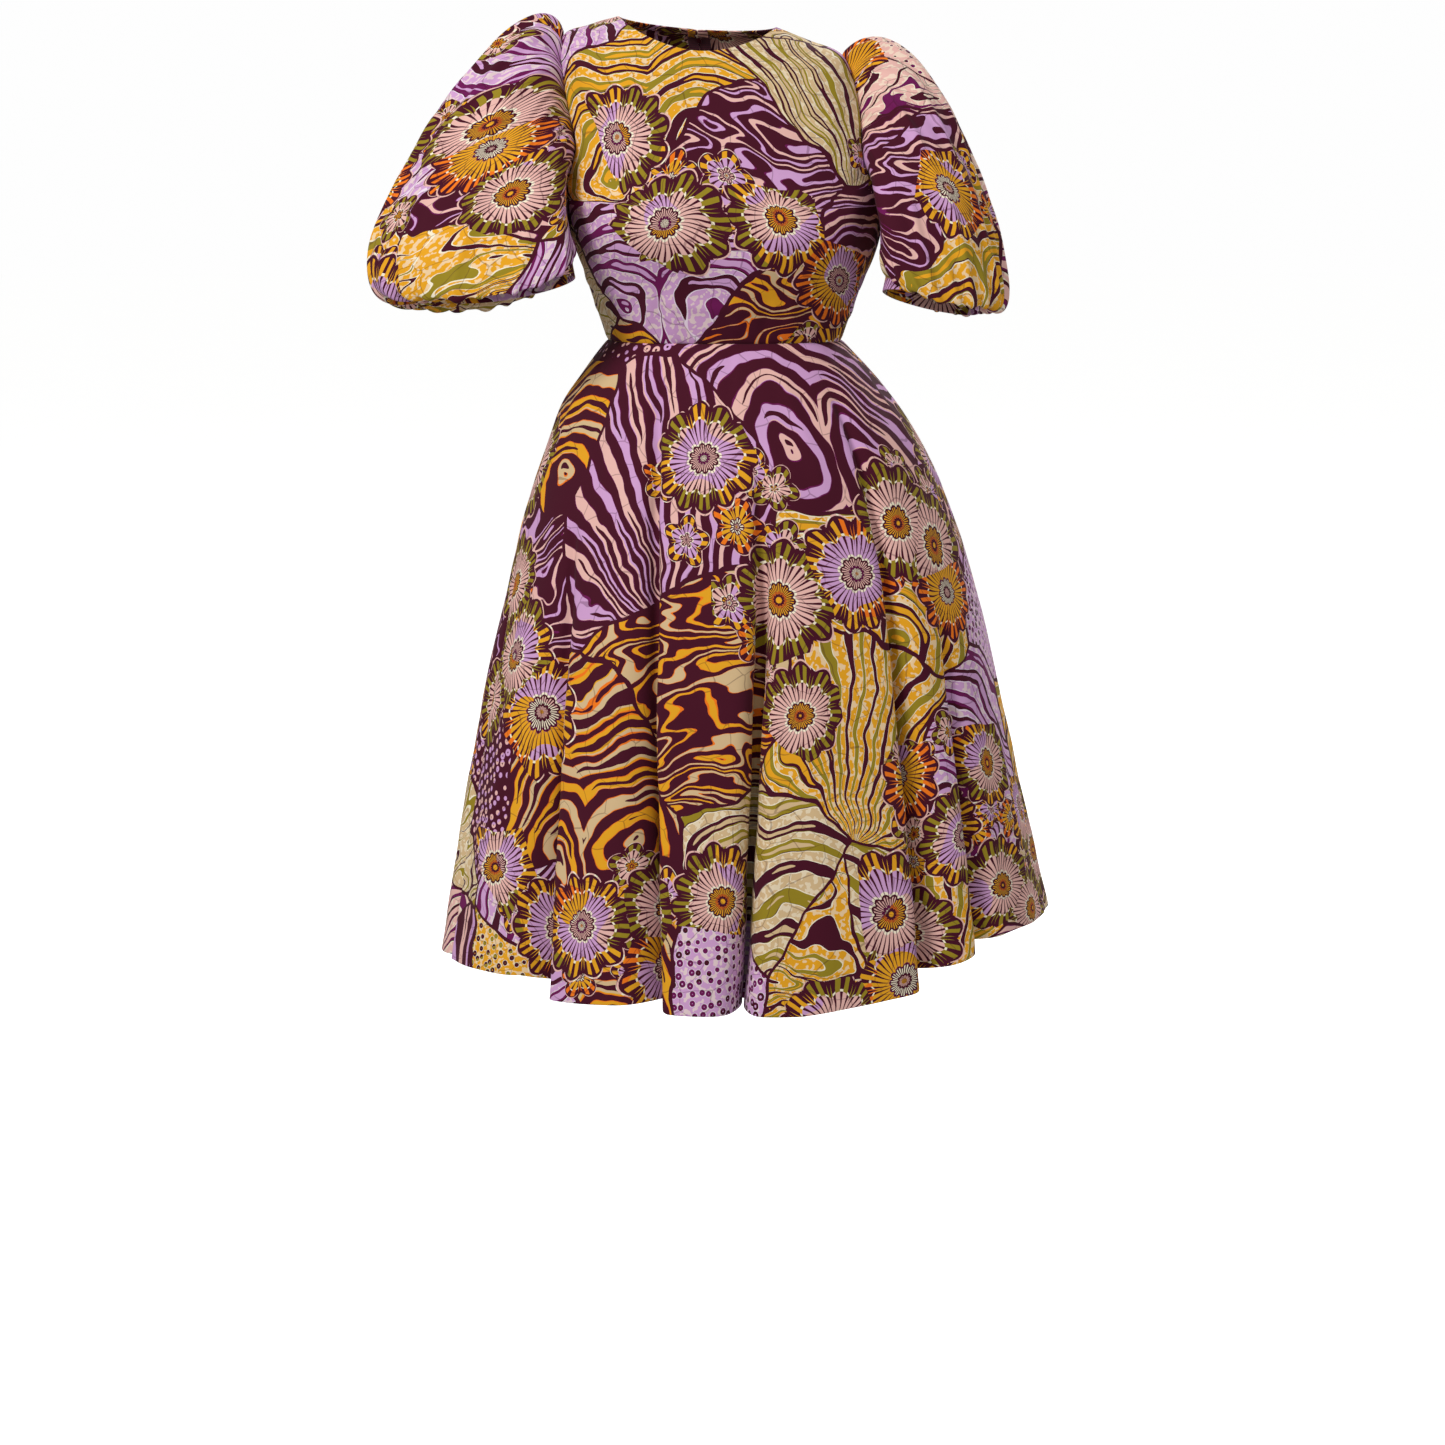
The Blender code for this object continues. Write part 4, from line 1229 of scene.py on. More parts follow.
def puff_sleeve(side: Side, front_edge: Array, back_edge: Array) -> PuffSleeve:
    """A sleeve as worn. The right one has a high crown and a wide, low puff, and the left one is
    flatter, with the arm turned in.

    Args:
        side: which sleeve.
        front_edge: the front's armhole edge, from the underarm up.
        back_edge: the back's armhole edge, from the underarm up.

    Returns:
        The sleeve.
    """
    under = Guide((0.012, 0.010, -0.016), (-0.010, 0.006, 0.020))
    gathers = sleeve_gathers(-side.value)
    if side is Side.RIGHT:
        return PuffSleeve(
            side,
            front_edge,
            back_edge,
            cuff=(-0.196, -0.078, -0.266),
            cuff_radius=0.065,
            side_drop=math.radians(11),
            crown=Guide((0.031, 0.000, 0.132), (0.240, 0.006, -0.112)),
            front=Guide((0.026, 0.060, 0.016), (-0.016, 0.052, -0.110)),
            under=under,
            back=Guide((0.060, -0.070, 0.020), (0.050, -0.060, -0.110)),
            seed=0.13,
            gathers=gathers,
        )
    return PuffSleeve(
        side,
        front_edge,
        back_edge,
        cuff=(0.252, -0.078, -0.280),
        cuff_radius=0.053,
        side_drop=math.radians(13),
        crown=Guide((0.100, 0.000, 0.112), (0.078, 0.006, -0.086)),
        front=Guide((0.026, 0.056, 0.016), (-0.024, 0.060, -0.084)),
        under=under,
        back=Guide((0.066, -0.068, 0.020), (0.030, -0.060, -0.080)),
        seed=0.71,
        gathers=gathers,
    )


def sleeve_gathers(mirror: float) -> tuple[Crease, ...]:
    """Gathers of a sleeve's head and cuff, uneven in length, depth and spacing, with a few folds
    across its body. The rows give turn, step, turn at the end, height, width and bow.

    Args:
        mirror: 1 or -1, so that the two sleeves aren't gathered alike.

    Returns:
        The creases, with turns from the crown.
    """
    head = (
        (-96, 0.13, -92, 2.6, 5.0, 2),
        (-82, 0.20, -77, 3.6, 5.5, -3),
        (-69, 0.15, -66, 3.0, 4.5, 2),
        (-57, 0.28, -51, 4.4, 6.0, 3),
        (-45, 0.17, -43, 3.2, 4.5, -2),
        (-34, 0.33, -28, 4.8, 6.0, 4),
        (-23, 0.20, -21, 3.6, 4.5, -2),
        (-13, 0.38, -9, 5.2, 6.0, 3),
        (-3, 0.22, -2, 3.8, 4.5, 0),
        (7, 0.34, 6, 5.0, 5.5, -3),
        (17, 0.19, 17, 3.4, 4.5, 2),
        (27, 0.36, 24, 5.0, 6.0, -4),
        (38, 0.21, 37, 3.8, 5.0, 2),
        (49, 0.31, 46, 4.4, 6.0, -3),
        (61, 0.17, 60, 3.2, 4.5, 2),
        (72, 0.25, 69, 3.9, 5.5, -2),
        (85, 0.14, 83, 2.8, 5.0, 2),
        (98, 0.18, 95, 2.4, 5.0, -2),
    )
    cuff = (
        (-158, 0.74, -155, 2.2, 4.5, 0),
        (-140, 0.70, -138, 3.0, 5.0, 3),
        (-124, 0.78, -122, 2.4, 4.0, -2),
        (-108, 0.66, -105, 3.6, 5.5, 3),
        (-93, 0.76, -92, 2.8, 4.5, -2),
        (-78, 0.62, -75, 4.0, 6.0, 4),
        (-64, 0.74, -63, 3.0, 4.5, -2),
        (-50, 0.66, -47, 3.8, 5.5, 3),
        (-37, 0.78, -36, 2.8, 4.5, 0),
        (-24, 0.64, -22, 4.0, 6.0, -3),
        (-10, 0.75, -10, 3.0, 4.5, 2),
        (4, 0.63, 3, 4.1, 6.0, 3),
        (18, 0.76, 18, 2.9, 4.5, -2),
        (31, 0.65, 29, 3.9, 5.5, -3),
        (45, 0.77, 44, 2.9, 4.5, 2),
        (58, 0.62, 56, 4.1, 6.0, -4),
        (73, 0.74, 72, 3.0, 4.5, 2),
        (88, 0.67, 86, 3.6, 5.5, -3),
        (104, 0.77, 103, 2.7, 4.5, 2),
        (121, 0.69, 119, 3.1, 5.0, -3),
        (139, 0.76, 138, 2.3, 4.5, 2),
        (156, 0.72, 155, 2.2, 4.5, 0),
    )
    body = (
        (-62, 0.30, -40, 0.62, 2.6, 16, 8),
        (-20, 0.42, -30, 0.72, -2.2, 18, 6),
        (26, 0.36, 42, 0.66, 2.4, 16, -8),
        (70, 0.40, 58, 0.70, -2.0, 16, 6),
        (4, 0.48, 12, 0.78, 2.0, 18, -6),
    )
    # Each gather begins past its edge, where it is deepest, and runs on beyond the step in its row.
    rows = [
        (turn, -0.6 * reach, to_turn, 1.6 * reach, 1.25 * height, width, bow)
        for turn, reach, to_turn, height, width, bow in head
    ]
    rows += [
        (turn, 1 + 0.6 * (1 - step), to_turn, 1 - 1.5 * (1 - step), 1.4 * height, width, bow)
        for turn, step, to_turn, height, width, bow in cuff
    ]
    rows += [(*place, 1.6 * height, width, bow) for *place, height, width, bow in body]
    return tuple(
        Crease(mirror * turn, step, mirror * to_turn, to_step, height, width, mirror * bow)
        for turn, step, to_turn, to_step, height, width, bow in rows
    )


@dataclass
class BackZip:
    """The concealed zip: two woven tapes with a coil along each, and the metal slider and pull."""

    torso: Torso
    skirt: FlaredSkirt
    top_step: float = 0.985
    bodice_rows: int = 120
    coil_rows: int = 400
    tape_columns: int = 12
    tape_start: float = 0.0012
    tape_width: float = 0.011
    tape_wall: float = 0.0008
    inset: float = 0.0023
    coil_from_centre: float = 0.0011
    coil_inset: float = 0.0027
    coil_radius: float = 0.0012
    coil_flatness: float = 0.6
    coil_pitch: float = 0.0014
    thread_radius: float = 0.00035

    def line(self, side: Side, from_centre: float, depth: float, rows: int) -> Array:
        """Points down the centre back, beside it and in from the cloth.

        Args:
            side: which half.
            from_centre: metres from the centre back.
            depth: metres in from the cloth.
            rows: number of points on the bodice; the skirt has a third as many.

        Returns:
            The points, from the zip's lower end to its top.
        """
        low = np.linspace(self.skirt.zip_end_step, 0, rows // 3)
        high = np.linspace(0, self.top_step, rows)[1:]
        skirt_turn = side.value * (math.pi - from_centre / self.skirt.rings.at("half_width", low))
        bodice_turn = side.value * (math.pi - from_centre / self.torso.rings.at("half_width", high))
        points = np.concatenate([self.skirt.at(skirt_turn, low), self.torso.at(bodice_turn, high)])
        slope = unit(np.gradient(points, axis=0))
        inward = unit(np.cross(slope, np.array([1.0, 0, 0])))
        inward = inward * -np.sign(inward[:, 1:2])
        return points + inward * depth

    def tape(self, side: Side, finish: bpy.types.Material) -> bpy.types.Object:
        """One tape: a strip between two lines inside the cloth.

        Args:
            side: which half.
            finish: the tape's material.

        Returns:
            The tape's object.
        """
        widths = self.tape_start + self.tape_width * np.linspace(0, 1, self.tape_columns + 1)
        lines = [self.line(side, width, self.inset, self.bodice_rows) for width in widths]
        points = np.stack(lines, axis=1)
        cut = np.stack([arc_length(points, 1), arc_length(points, 0)], -1)
        backwards = np.array([0, 1.0, 0])
        _, sign = facing(points, backwards)
        made = grid_object(f"zip_tape_{side.word}_woven", points, sign, finish, cut)
        add_wall(made, self.tape_wall)
        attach(made, "dress")
        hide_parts(f"zip_tape_{side.word}")
        return made

    def coil(self, side: Side, finish: bpy.types.Material) -> bpy.types.Object:
        """One coil: a thread wound as a helix along the tape's inner edge, swept as a tube.

        Args:
            side: which half.
            finish: the coil's material.

        Returns:
            The coil's object.
        """
        path = self.line(side, self.coil_from_centre, self.coil_inset, self.coil_rows)
        length = arc_length(path, 0)
        turns = int(length[-1] / self.coil_pitch)
        along = np.linspace(0, length[-1], turns * 8 + 1)
        centre = np.stack([np.interp(along, length, path[:, n]) for n in range(3)], -1)
        slope = unit(np.gradient(centre, axis=0))
        sideways = unit(np.cross(slope, np.array([0, 1.0, 0])))
        inward = np.cross(slope, sideways)
        phase = (2 * math.pi * along / self.coil_pitch + side.value * QUARTER)[:, None]
        wound = np.cos(phase) * sideways + self.coil_flatness * np.sin(phase) * inward
        spine = centre + self.coil_radius * wound
        made = tube_object(f"zip_coil_{side.word}", spine, self.thread_radius, 5, finish)
        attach(made, "dress")
        return made


def tube_object(
    name: str, spine: Array, radius: float, sides: int, finish: bpy.types.Material
) -> bpy.types.Object:
    """A tube along a line, with closed ends: rings in the plane across the line at each point.

    Args:
        name: the object's name.
        spine: points of the line.
        radius: the tube's radius.
        sides: faces round it.
        finish: the material.

    Returns:
        The new object.
    """
    slope = unit(np.gradient(spine, axis=0))
    steady = np.array([0.0, 1.0, 0.05])
    across = unit(np.cross(slope, steady))
    up = np.cross(across, slope)
    angle = np.linspace(0, 2 * math.pi, sides, endpoint=False)
    ring = np.cos(angle)[:, None, None] * across + np.sin(angle)[:, None, None] * up
    rings = np.swapaxes(spine + radius * ring, 0, 1)
    count = len(spine)
    corner = np.arange(count - 1)[:, None] * sides + np.arange(sides)[None, :]
    beside = np.arange(count - 1)[:, None] * sides + (np.arange(sides)[None, :] + 1) % sides
    faces = np.stack([corner, beside, beside + sides, corner + sides], -1).reshape(-1, 4)
    first = np.arange(sides)[::-1]
    caps = [list(first), list(np.arange(sides) + (count - 1) * sides)]
    return mesh_object(name, rings.reshape(-1, 3), [list(face) for face in faces] + caps, finish)


@dataclass
class Stitching:
    """A row of machine stitches: short thread capsules laid along a line on the cloth."""

    thread: float = 0.0003
    stitch: float = 0.0026
    gap: float = 0.0006
    sides: int = 6

    def row(
        self, name: str, line: Array, normals: Array, finish: bpy.types.Material
    ) -> bpy.types.Object:
        """A row of stitches. Each is a capsule of four rings, whose radius is the root of a
        parabola along it, laid along the line and half sunk into the cloth.

        Args:
            name: the object's name.
            line: points of the line on the cloth.
            normals: the cloth's outward direction at each.
            finish: the thread's material.

        Returns:
            The new object.
        """
        length = arc_length(line, 0)
        count = int(length[-1] / (self.stitch + self.gap))
        middle = (np.arange(count) + 0.5) * length[-1] / count
        place, direction, outward = (
            np.stack([np.interp(middle, length, values[:, n]) for n in range(3)], -1)
            for values in (line, unit(np.gradient(line, axis=0)), normals)
        )
        direction, outward = unit(direction), unit(outward)
        across = np.cross(direction, outward)
        sides = self.sides
        share = np.array([-1.0, -0.55, 0.55, 1.0])
        swell = np.sqrt(np.maximum(1 - share**2, 0.12))
        angle = np.linspace(0, 2 * math.pi, sides, endpoint=False)
        local_along = np.repeat(share * self.stitch / 2, sides)
        local_up = (swell[:, None] * np.sin(angle)).ravel() * self.thread
        local_across = (swell[:, None] * np.cos(angle)).ravel() * self.thread
        arch = self.thread * 0.9 * (1 - np.repeat(share, sides) ** 2)
        points = (
            place[:, None]
            + local_along[:, None] * direction[:, None]
            + (local_up + arch)[:, None] * outward[:, None]
            + local_across[:, None] * across[:, None]
        )
        first = np.arange(sides)
        second = (first + 1) % sides
        faces = np.stack([first, first + sides, second + sides, second], -1)
        faces = (faces[None] + (np.arange(3) * sides)[:, None, None]).reshape(-1, 4)
        caps = np.array([first, first[::-1] + 3 * sides])
        base = (np.arange(count) * 4 * sides)[:, None, None]
        every = (faces[None] + base).reshape(-1, 4).tolist()
        every += (caps[None] + base).reshape(-1, sides).tolist()
        made = mesh_object(name, points.reshape(-1, 3), every, finish)
        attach(made, "dress")
        return made


def linear(code: str) -> tuple[float, float, float, float]:
    """An sRGB hex colour as linear light, by the sRGB curve.

    Args:
        code: six hex digits.

    Returns:
        Red, green and blue in linear light, with full alpha.
    """
    parts = np.array([int(code[n : n + 2], 16) for n in (0, 2, 4)]) / 255
    light = np.where(parts <= 0.04045, parts / 12.92, ((parts + 0.055) / 1.055) ** 2.4)
    return (*light.tolist(), 1.0)


@dataclass
class Graph:
    """A material's nodes, added one at a time."""

    name: str
    material: bpy.types.Material = field(init=False)

    def __post_init__(self) -> None:
        """Starts a material with only its shader and its output."""
        self.material = bpy.data.materials.new(self.name)
        self.material.use_nodes = True

    @property
    def shader(self) -> Node:
        """The material's shader."""
        return self.material.node_tree.nodes["Principled BSDF"]

    def add(
        self, kind: str, *values: object, into: dict | None = None, stops: tuple = (), **settings: object
    ) -> Node:
        """Adds a node.

        Args:
            kind: the node's type, without its prefix.
            values: what goes into its first inputs, in order: a node, a socket or a number.
            into: what goes into its other inputs, by name.
            stops: places and hex colours of a colour ramp.
            settings: its other settings.

        Returns:
            The new node.
        """
        tree = self.material.node_tree
        node = tree.nodes.new("ShaderNode" + kind)
        for key, value in settings.items():
            setattr(node, key, value)
        sockets = [socket for socket in node.inputs if socket.enabled]
        named = [(node.inputs[key], value) for key, value in (into or {}).items()]
        for socket, value in [*zip(sockets, values), *named]:
            self.fill(socket, value)
        if stops:
            ramp = node.color_ramp
            ramp.interpolation = "CONSTANT"
            while len(ramp.elements) < len(stops):
                ramp.elements.new(0.5)
            for element, (position, code) in zip(ramp.elements, stops):
                element.position = position
                element.color = linear(code)
        return node

    def fill(self, socket: Socket, value: object) -> None:
        """Links a node's first shown output or a socket to an input, or sets a number there.

        Args:
            socket: the input.
            value: a node, a socket, a number or a colour.
        """
        if isinstance(value, bpy.types.Node):
            value = next(output for output in value.outputs if output.enabled)
        if isinstance(value, bpy.types.NodeSocket):
            self.material.node_tree.links.new(value, socket)
        else:
            socket.default_value = value

    def finish(self, **sockets: object) -> bpy.types.Material:
        """Fills the shader's own sockets, by name with underscores for spaces.

        Args:
            sockets: a node, a socket or a number for each.

        Returns:
            The finished material.
        """
        for key, value in sockets.items():
            self.fill(self.shader.inputs[key.replace("_", " ")], value)
        return self.material


@dataclass(frozen=True)
class WaxPrint:
    """Ankara: plain-woven cotton printed through wax on both faces. To the eye it is matt and
    slightly stiff, with flat strong inks, pale bubbles and fine dark crackle where the wax broke."""

    maroon: str = "450B20"
    plum: str = "6A1450"
    lilac: str = "CC9CC9"
    pale_lilac: str = "E8D6E4"
    pink: str = "E4B4AA"
    amber: str = "E3A01F"
    orange: str = "EC7418"
    olive: str = "94801F"
    sand: str = "D2B488"
    cream: str = "F1E6CC"
    patches: float = 5.4
    flower_edge: float = 1.07
    grounds: tuple[float, ...] = (0.0, 0.13, 0.25, 0.36, 0.60, 0.75, 0.89)

    def material(self) -> bpy.types.Material:
        """The print: patches of ground with leaf blades, fans, ripples or dots, under flowers.

        Returns:
            The cloth's material.
        """
        g = Graph("wax_printed_cotton")
        cut = g.add("UVMap", uv_map="cut")
        # The hand-drawn line: a slow noise bends the patches by up to 15 mm, the flowers by 6 mm
        settings = {"Scale": 9.0, "Detail": 3.0, "Roughness": 0.42}
        bend = g.add("TexNoise", cut, into=settings, noise_dimensions="2D")
        bend = g.add("VectorMath", bend.outputs["Color"], (0.5, 0.5, 0.5), operation="SUBTRACT")
        slight = g.add("VectorMath", bend, into={"Scale": 0.026}, operation="SCALE")
        drawn = g.add("VectorMath", cut, slight, operation="ADD")
        strong = g.add("VectorMath", bend, into={"Scale": 0.070}, operation="SCALE")
        place = g.add("VectorMath", cut, strong, operation="ADD")
        colour = self.patchwork(g, cut, place, g.add("SeparateXYZ", bend).outputs[2])
        colour = self.flowers(g, drawn, colour)
        # Crackle: fine dark veins where the wax broke, about 30 mm apart
        cracks = g.add(
            "TexVoronoi", place, into={"Scale": 34.0}, feature="DISTANCE_TO_EDGE", voronoi_dimensions="2D"
        )
        crack = g.add("Math", cracks, 0.020, operation="LESS_THAN")
        crack = g.add("Math", crack, 0.40, operation="MULTIPLY")
        colour = g.add("Mix", crack, colour, linear(self.maroon), data_type="RGBA")
        return g.finish(
            Base_Color=colour,
            Normal=self.weave(g, cut),
            Roughness=0.85,
            IOR=1.5,
            Specular_IOR_Level=0.15,
            Sheen_Weight=0.03,
            Sheen_Roughness=0.5,
        )

    def ramp(self, g: Graph, choice: Node, *colours: str) -> Node:
        """One of seven colours for each kind of ground.

        Args:
            g: the material's graph.
            choice: a number from 0 to 1 that picks the ground.
            colours: a hex colour for each kind.

        Returns:
            The colour ramp.
        """
        return g.add("ValToRGB", choice, stops=tuple(zip(self.grounds, colours)))

    def patchwork(self, g: Graph, cut: Node, place: Node, uneven: Socket) -> Node:
        """Patches of ground about 180 mm across, each with one kind of motif in two colours.

        Args:
            g: the material's graph.
            cut: the place on the cloth.
            place: the same, bent.
            uneven: a slow noise about 0 that makes the strokes swell and thin.

        Returns:
            The colour.
        """
        patch = g.add("TexVoronoi", place, into={"Scale": self.patches}, voronoi_dimensions="2D")
        choice = g.add("SeparateColor", patch.outputs["Color"])
        dark, plum, olive, cream = self.maroon, self.plum, self.olive, self.cream
        ground = self.ramp(g, choice, dark, dark, dark, self.amber, self.lilac, self.sand, self.pink)
        mark = self.ramp(g, choice, self.lilac, self.pink, self.amber, dark, dark, olive, dark)
        other = self.ramp(g, choice, self.pink, self.lilac, self.sand, olive, plum, dark, plum)
        line = self.ramp(g, choice, plum, plum, self.orange, cream, self.pale_lilac, cream, cream)
        local = g.add("VectorMath", place, patch.outputs["Position"], operation="SUBTRACT")
        phase, bias = self.strokes(g, place, local, choice.outputs[1])
        motif = g.add("Math", g.add("Math", phase, operation="SINE"), bias, operation="ADD")
        # Dots about 4 mm across, 11 mm apart
        dots = g.add("TexVoronoi", cut, into={"Scale": 92.0, "Randomness": 0.5}, voronoi_dimensions="2D")
        dot = g.add("Math", dots.outputs["Distance"], -4.0, 1.25, operation="MULTIPLY_ADD")
        dotted = g.add("Math", choice.outputs[1], 0.90, operation="GREATER_THAN")
        motif = g.add("Mix", dotted, motif, dot)
        motif = g.add("Math", uneven, 2.6, motif, operation="MULTIPLY_ADD")
        half = g.add("Math", phase, 0.5, operation="MULTIPLY")
        every_other = g.add("Math", g.add("Math", half, operation="SINE"), 0.0, operation="GREATER_THAN")
        # Wax bubbles of about 5 mm, pale on the light grounds
        bubbles = g.add("TexNoise", cut, into={"Scale": 150.0, "Detail": 1.0}, noise_dimensions="2D")
        bubble = g.add("Math", bubbles, 0.55, operation="GREATER_THAN")
        light = g.add("Math", choice, self.grounds[3], operation="GREATER_THAN")
        bubble = g.add("Math", bubble, light, operation="MULTIPLY")
        bubble = g.add("Math", bubble, 0.55, operation="MULTIPLY")
        colour = g.add("Mix", bubble, ground, linear(cream), data_type="RGBA")
        fill = g.add("Mix", every_other, mark, other, data_type="RGBA")
        # Upwards through the strokes: their outline, their ink, and bare ground on the widest parts
        for level, ink in ((-0.18, line), (0.02, fill), (1.04, ground)):
            above = g.add("Math", motif, level, operation="GREATER_THAN")
            colour = g.add("Mix", above, colour, ink, data_type="RGBA")
        # An outline of about 3 mm round each patch
        settings = {"Scale": self.patches}
        edge = g.add(
            "TexVoronoi", place, into=settings, feature="DISTANCE_TO_EDGE", voronoi_dimensions="2D"
        )
        border = g.add("Math", edge, 0.012, operation="LESS_THAN")
        return g.add("Mix", border, colour, linear(dark), data_type="RGBA")

    @staticmethod
    def strokes(g: Graph, place: Node, local: Node, kind: Socket) -> tuple[Node, Node]:
        """Strokes of a patch: arching blades, leaf fans or ripples.

        Args:
            g: the material's graph.
            place: the bent place on the cloth.
            local: the place from the patch's middle.
            kind: a number from 0 to 1 that picks the kind.

        Returns:
            An angle that grows by a full turn for each stroke, and what widens the strokes.
        """
        xy = g.add("SeparateXYZ", local)
        # Blades: rings about two feet, one on each side of the middle, 24 mm apart, widest on top
        beside = g.add("Math", xy.outputs[0], operation="ABSOLUTE")
        beside = g.add("Math", beside, 0.050, operation="SUBTRACT")
        above = g.add("Math", xy.outputs[1], 0.055, operation="ADD")
        foot = g.add("CombineXYZ", beside, above, 0.0)
        reach = g.add("VectorMath", foot, operation="LENGTH").outputs["Value"]
        blade = g.add("Math", reach, 2 * math.pi / 0.024, operation="MULTIPLY")
        rise = g.add("Math", above, reach, operation="DIVIDE")
        rise = g.add("Math", rise, 0.55, -0.30, operation="MULTIPLY_ADD")
        # Fans: rays from a foot 150 mm under the middle, bent outwards as they rise
        foot_y = g.add("Math", xy.outputs[1], 0.150, operation="ADD")
        ray = g.add("Math", xy.outputs[0], foot_y, operation="ARCTAN2")
        outward = g.add("Math", xy.outputs[0], 3.6, operation="MULTIPLY")
        ray = g.add("Math", outward, 0.8, ray, operation="MULTIPLY_ADD")
        fan = g.add("Math", ray, 40.0, operation="MULTIPLY")
        # Ripples: level lines of a noise that is stretched sideways, about 14 mm apart, thin
        stretched = g.add("VectorMath", place, (8.0, 26.0, 1.0), operation="MULTIPLY")
        settings = {"Scale": 1.0, "Detail": 1.0, "Roughness": 0.4}
        hills = g.add("TexNoise", stretched, into=settings, noise_dimensions="2D")
        ripple = g.add("Math", hills, 62.0, operation="MULTIPLY")
        is_fan = g.add("Math", kind, 0.34, operation="GREATER_THAN")
        is_ripple = g.add("Math", kind, 0.62, operation="GREATER_THAN")
        phase = g.add("Mix", is_ripple, g.add("Mix", is_fan, blade, fan), ripple)
        bias = g.add("Mix", is_ripple, g.add("Mix", is_fan, rise, -0.05), -0.42)
        return phase, bias

    def flowers(self, g: Graph, place: Node, colour: Node) -> Node:
        """Clusters of round flowers over the patches, and blossoms with five petals between them.

        Args:
            g: the material's graph.
            place: the place on the cloth, slightly bent.
            colour: the colour under the flowers.

        Returns:
            The colour with the flowers.
        """
        big = self.flower(g, place, 9.4, 0.060, 6.0, 0.090, 0.52)
        small = self.flower(g, place, 17.0, 0.023, 2.5, 0.20, 0.58)
        is_big = g.add("Math", big[0], self.flower_edge, operation="LESS_THAN")
        ring, petal, scallop, variant = (
            g.add("Mix", is_big, little, large) for little, large in zip(small, big)
        )
        level = g.add("Math", ring, 0.9, operation="MULTIPLY")
        stops = (0.00, 0.05, 0.09, 0.13, 0.24, 0.27, 0.31, 0.62, 0.88, 0.93)
        dark, plum, cream, pink, amber = self.maroon, self.plum, self.cream, self.pink, self.amber
        inks = (
            (amber, dark, self.orange, amber, dark, cream, pink, self.olive, dark, pink),
            (plum, cream, plum, pink, dark, cream, self.lilac, amber, dark, cream),
            (dark, pink, dark, cream, plum, amber, amber, self.orange, dark, pink),
        )
        first, second, third = (g.add("ValToRGB", level, stops=tuple(zip(stops, row))) for row in inks)
        # A petal's colour drifts from one row of inks to the next across a flower
        drift = g.add("TexNoise", place, into={"Scale": 15.0, "Detail": 0.0}, noise_dimensions="2D")
        way = g.add("Math", drift, 0.9, variant, operation="MULTIPLY_ADD")
        flower = first
        for level_of_drift, inked in ((0.86, second), (1.22, third)):
            past = g.add("Math", way, level_of_drift, operation="GREATER_THAN")
            flower = g.add("Mix", past, flower, inked, data_type="RGBA")
        # Fine dark strokes between the petals, that give way to cream and pink at their tips
        places = (0.00, 0.05, 0.27, 0.31, 0.62, 0.66, 0.93)
        row = (amber, dark, plum, dark, cream, dark, pink)
        strokes = g.add("ValToRGB", level, stops=tuple(zip(places, row)))
        comb = g.add("Math", ring, 1.5, petal, operation="MULTIPLY_ADD")
        heart = g.add("Math", ring, 0.30, operation="LESS_THAN")
        comb = g.add("Math", heart, 1.15, comb, operation="MULTIPLY_ADD")
        stroke = g.add("Math", comb, 1.35, operation="GREATER_THAN")
        flower = g.add("Mix", stroke, flower, strokes, data_type="RGBA")
        # A dark notch between two petals, that widens towards the edge
        notch = g.add("Math", ring, -0.55, scallop, operation="MULTIPLY_ADD")
        notch = g.add("Math", notch, -0.30, operation="LESS_THAN")
        flower = g.add("Mix", notch, flower, linear(dark), data_type="RGBA")
        inside = g.add("Math", ring, self.flower_edge, operation="LESS_THAN")
        return g.add("Mix", inside, colour, flower, data_type="RGBA")

    @staticmethod
    def flower(
        g: Graph, place: Node, scale: float, radius: float, petals: float, lobe: float, rare: float
    ) -> tuple[Node, Node, Node, Socket]:
        """Round flowers in clusters over the cloth, in polar coordinates about each one's middle.

        A slow noise, read at each flower's middle, says where the clusters are.

        Args:
            g: the material's graph.
            place: the bent place on the cloth.
            scale: flowers per metre.
            radius: a flower's radius in metres.
            petals: half the number of petals round it.
            lobe: how deep the petals' edge is cut, as a share of the radius.
            rare: level of the noise above which flowers stand.

        Returns:
            The distance from the middle as a share of the petals' edge, the strokes' wave, the
            petals' wave from 0 between two to 1, and a number that picks the colours.
        """
        spots = g.add(
            "TexVoronoi", place, into={"Scale": scale, "Randomness": 0.72}, voronoi_dimensions="2D"
        )
        pick = g.add("SeparateColor", spots.outputs["Color"])
        local = g.add("VectorMath", place, spots.outputs["Position"], operation="SUBTRACT")
        xy = g.add("SeparateXYZ", local)
        angle = g.add("Math", xy.outputs[1], xy.outputs[0], operation="ARCTAN2")
        scallop = g.add("Math", angle, petals, operation="MULTIPLY")
        scallop = g.add("Math", scallop, operation="COSINE")
        scallop = g.add("Math", scallop, operation="ABSOLUTE")
        wave = g.add("Math", angle, 6 * petals, operation="MULTIPLY")
        wave = g.add("Math", wave, operation="COSINE")
        size = g.add("Math", pick.outputs[2], 0.30 * radius, 0.75 * radius, operation="MULTIPLY_ADD")
        edge = g.add("Math", scallop, 2 * lobe, 1 - lobe, operation="MULTIPLY_ADD")
        edge = g.add("Math", edge, size, operation="MULTIPLY")
        middle = spots.outputs["Position"]
        cluster = g.add("TexNoise", middle, into={"Scale": 5.0, "Detail": 0.0}, noise_dimensions="2D")
        missing = g.add("Math", cluster, rare, operation="LESS_THAN")
        reach = g.add("VectorMath", local, operation="LENGTH").outputs["Value"]
        share = g.add("Math", reach, edge, operation="DIVIDE")
        share = g.add("Math", missing, 9.0, share, operation="MULTIPLY_ADD")
        return share, wave, scallop, pick.outputs[1]

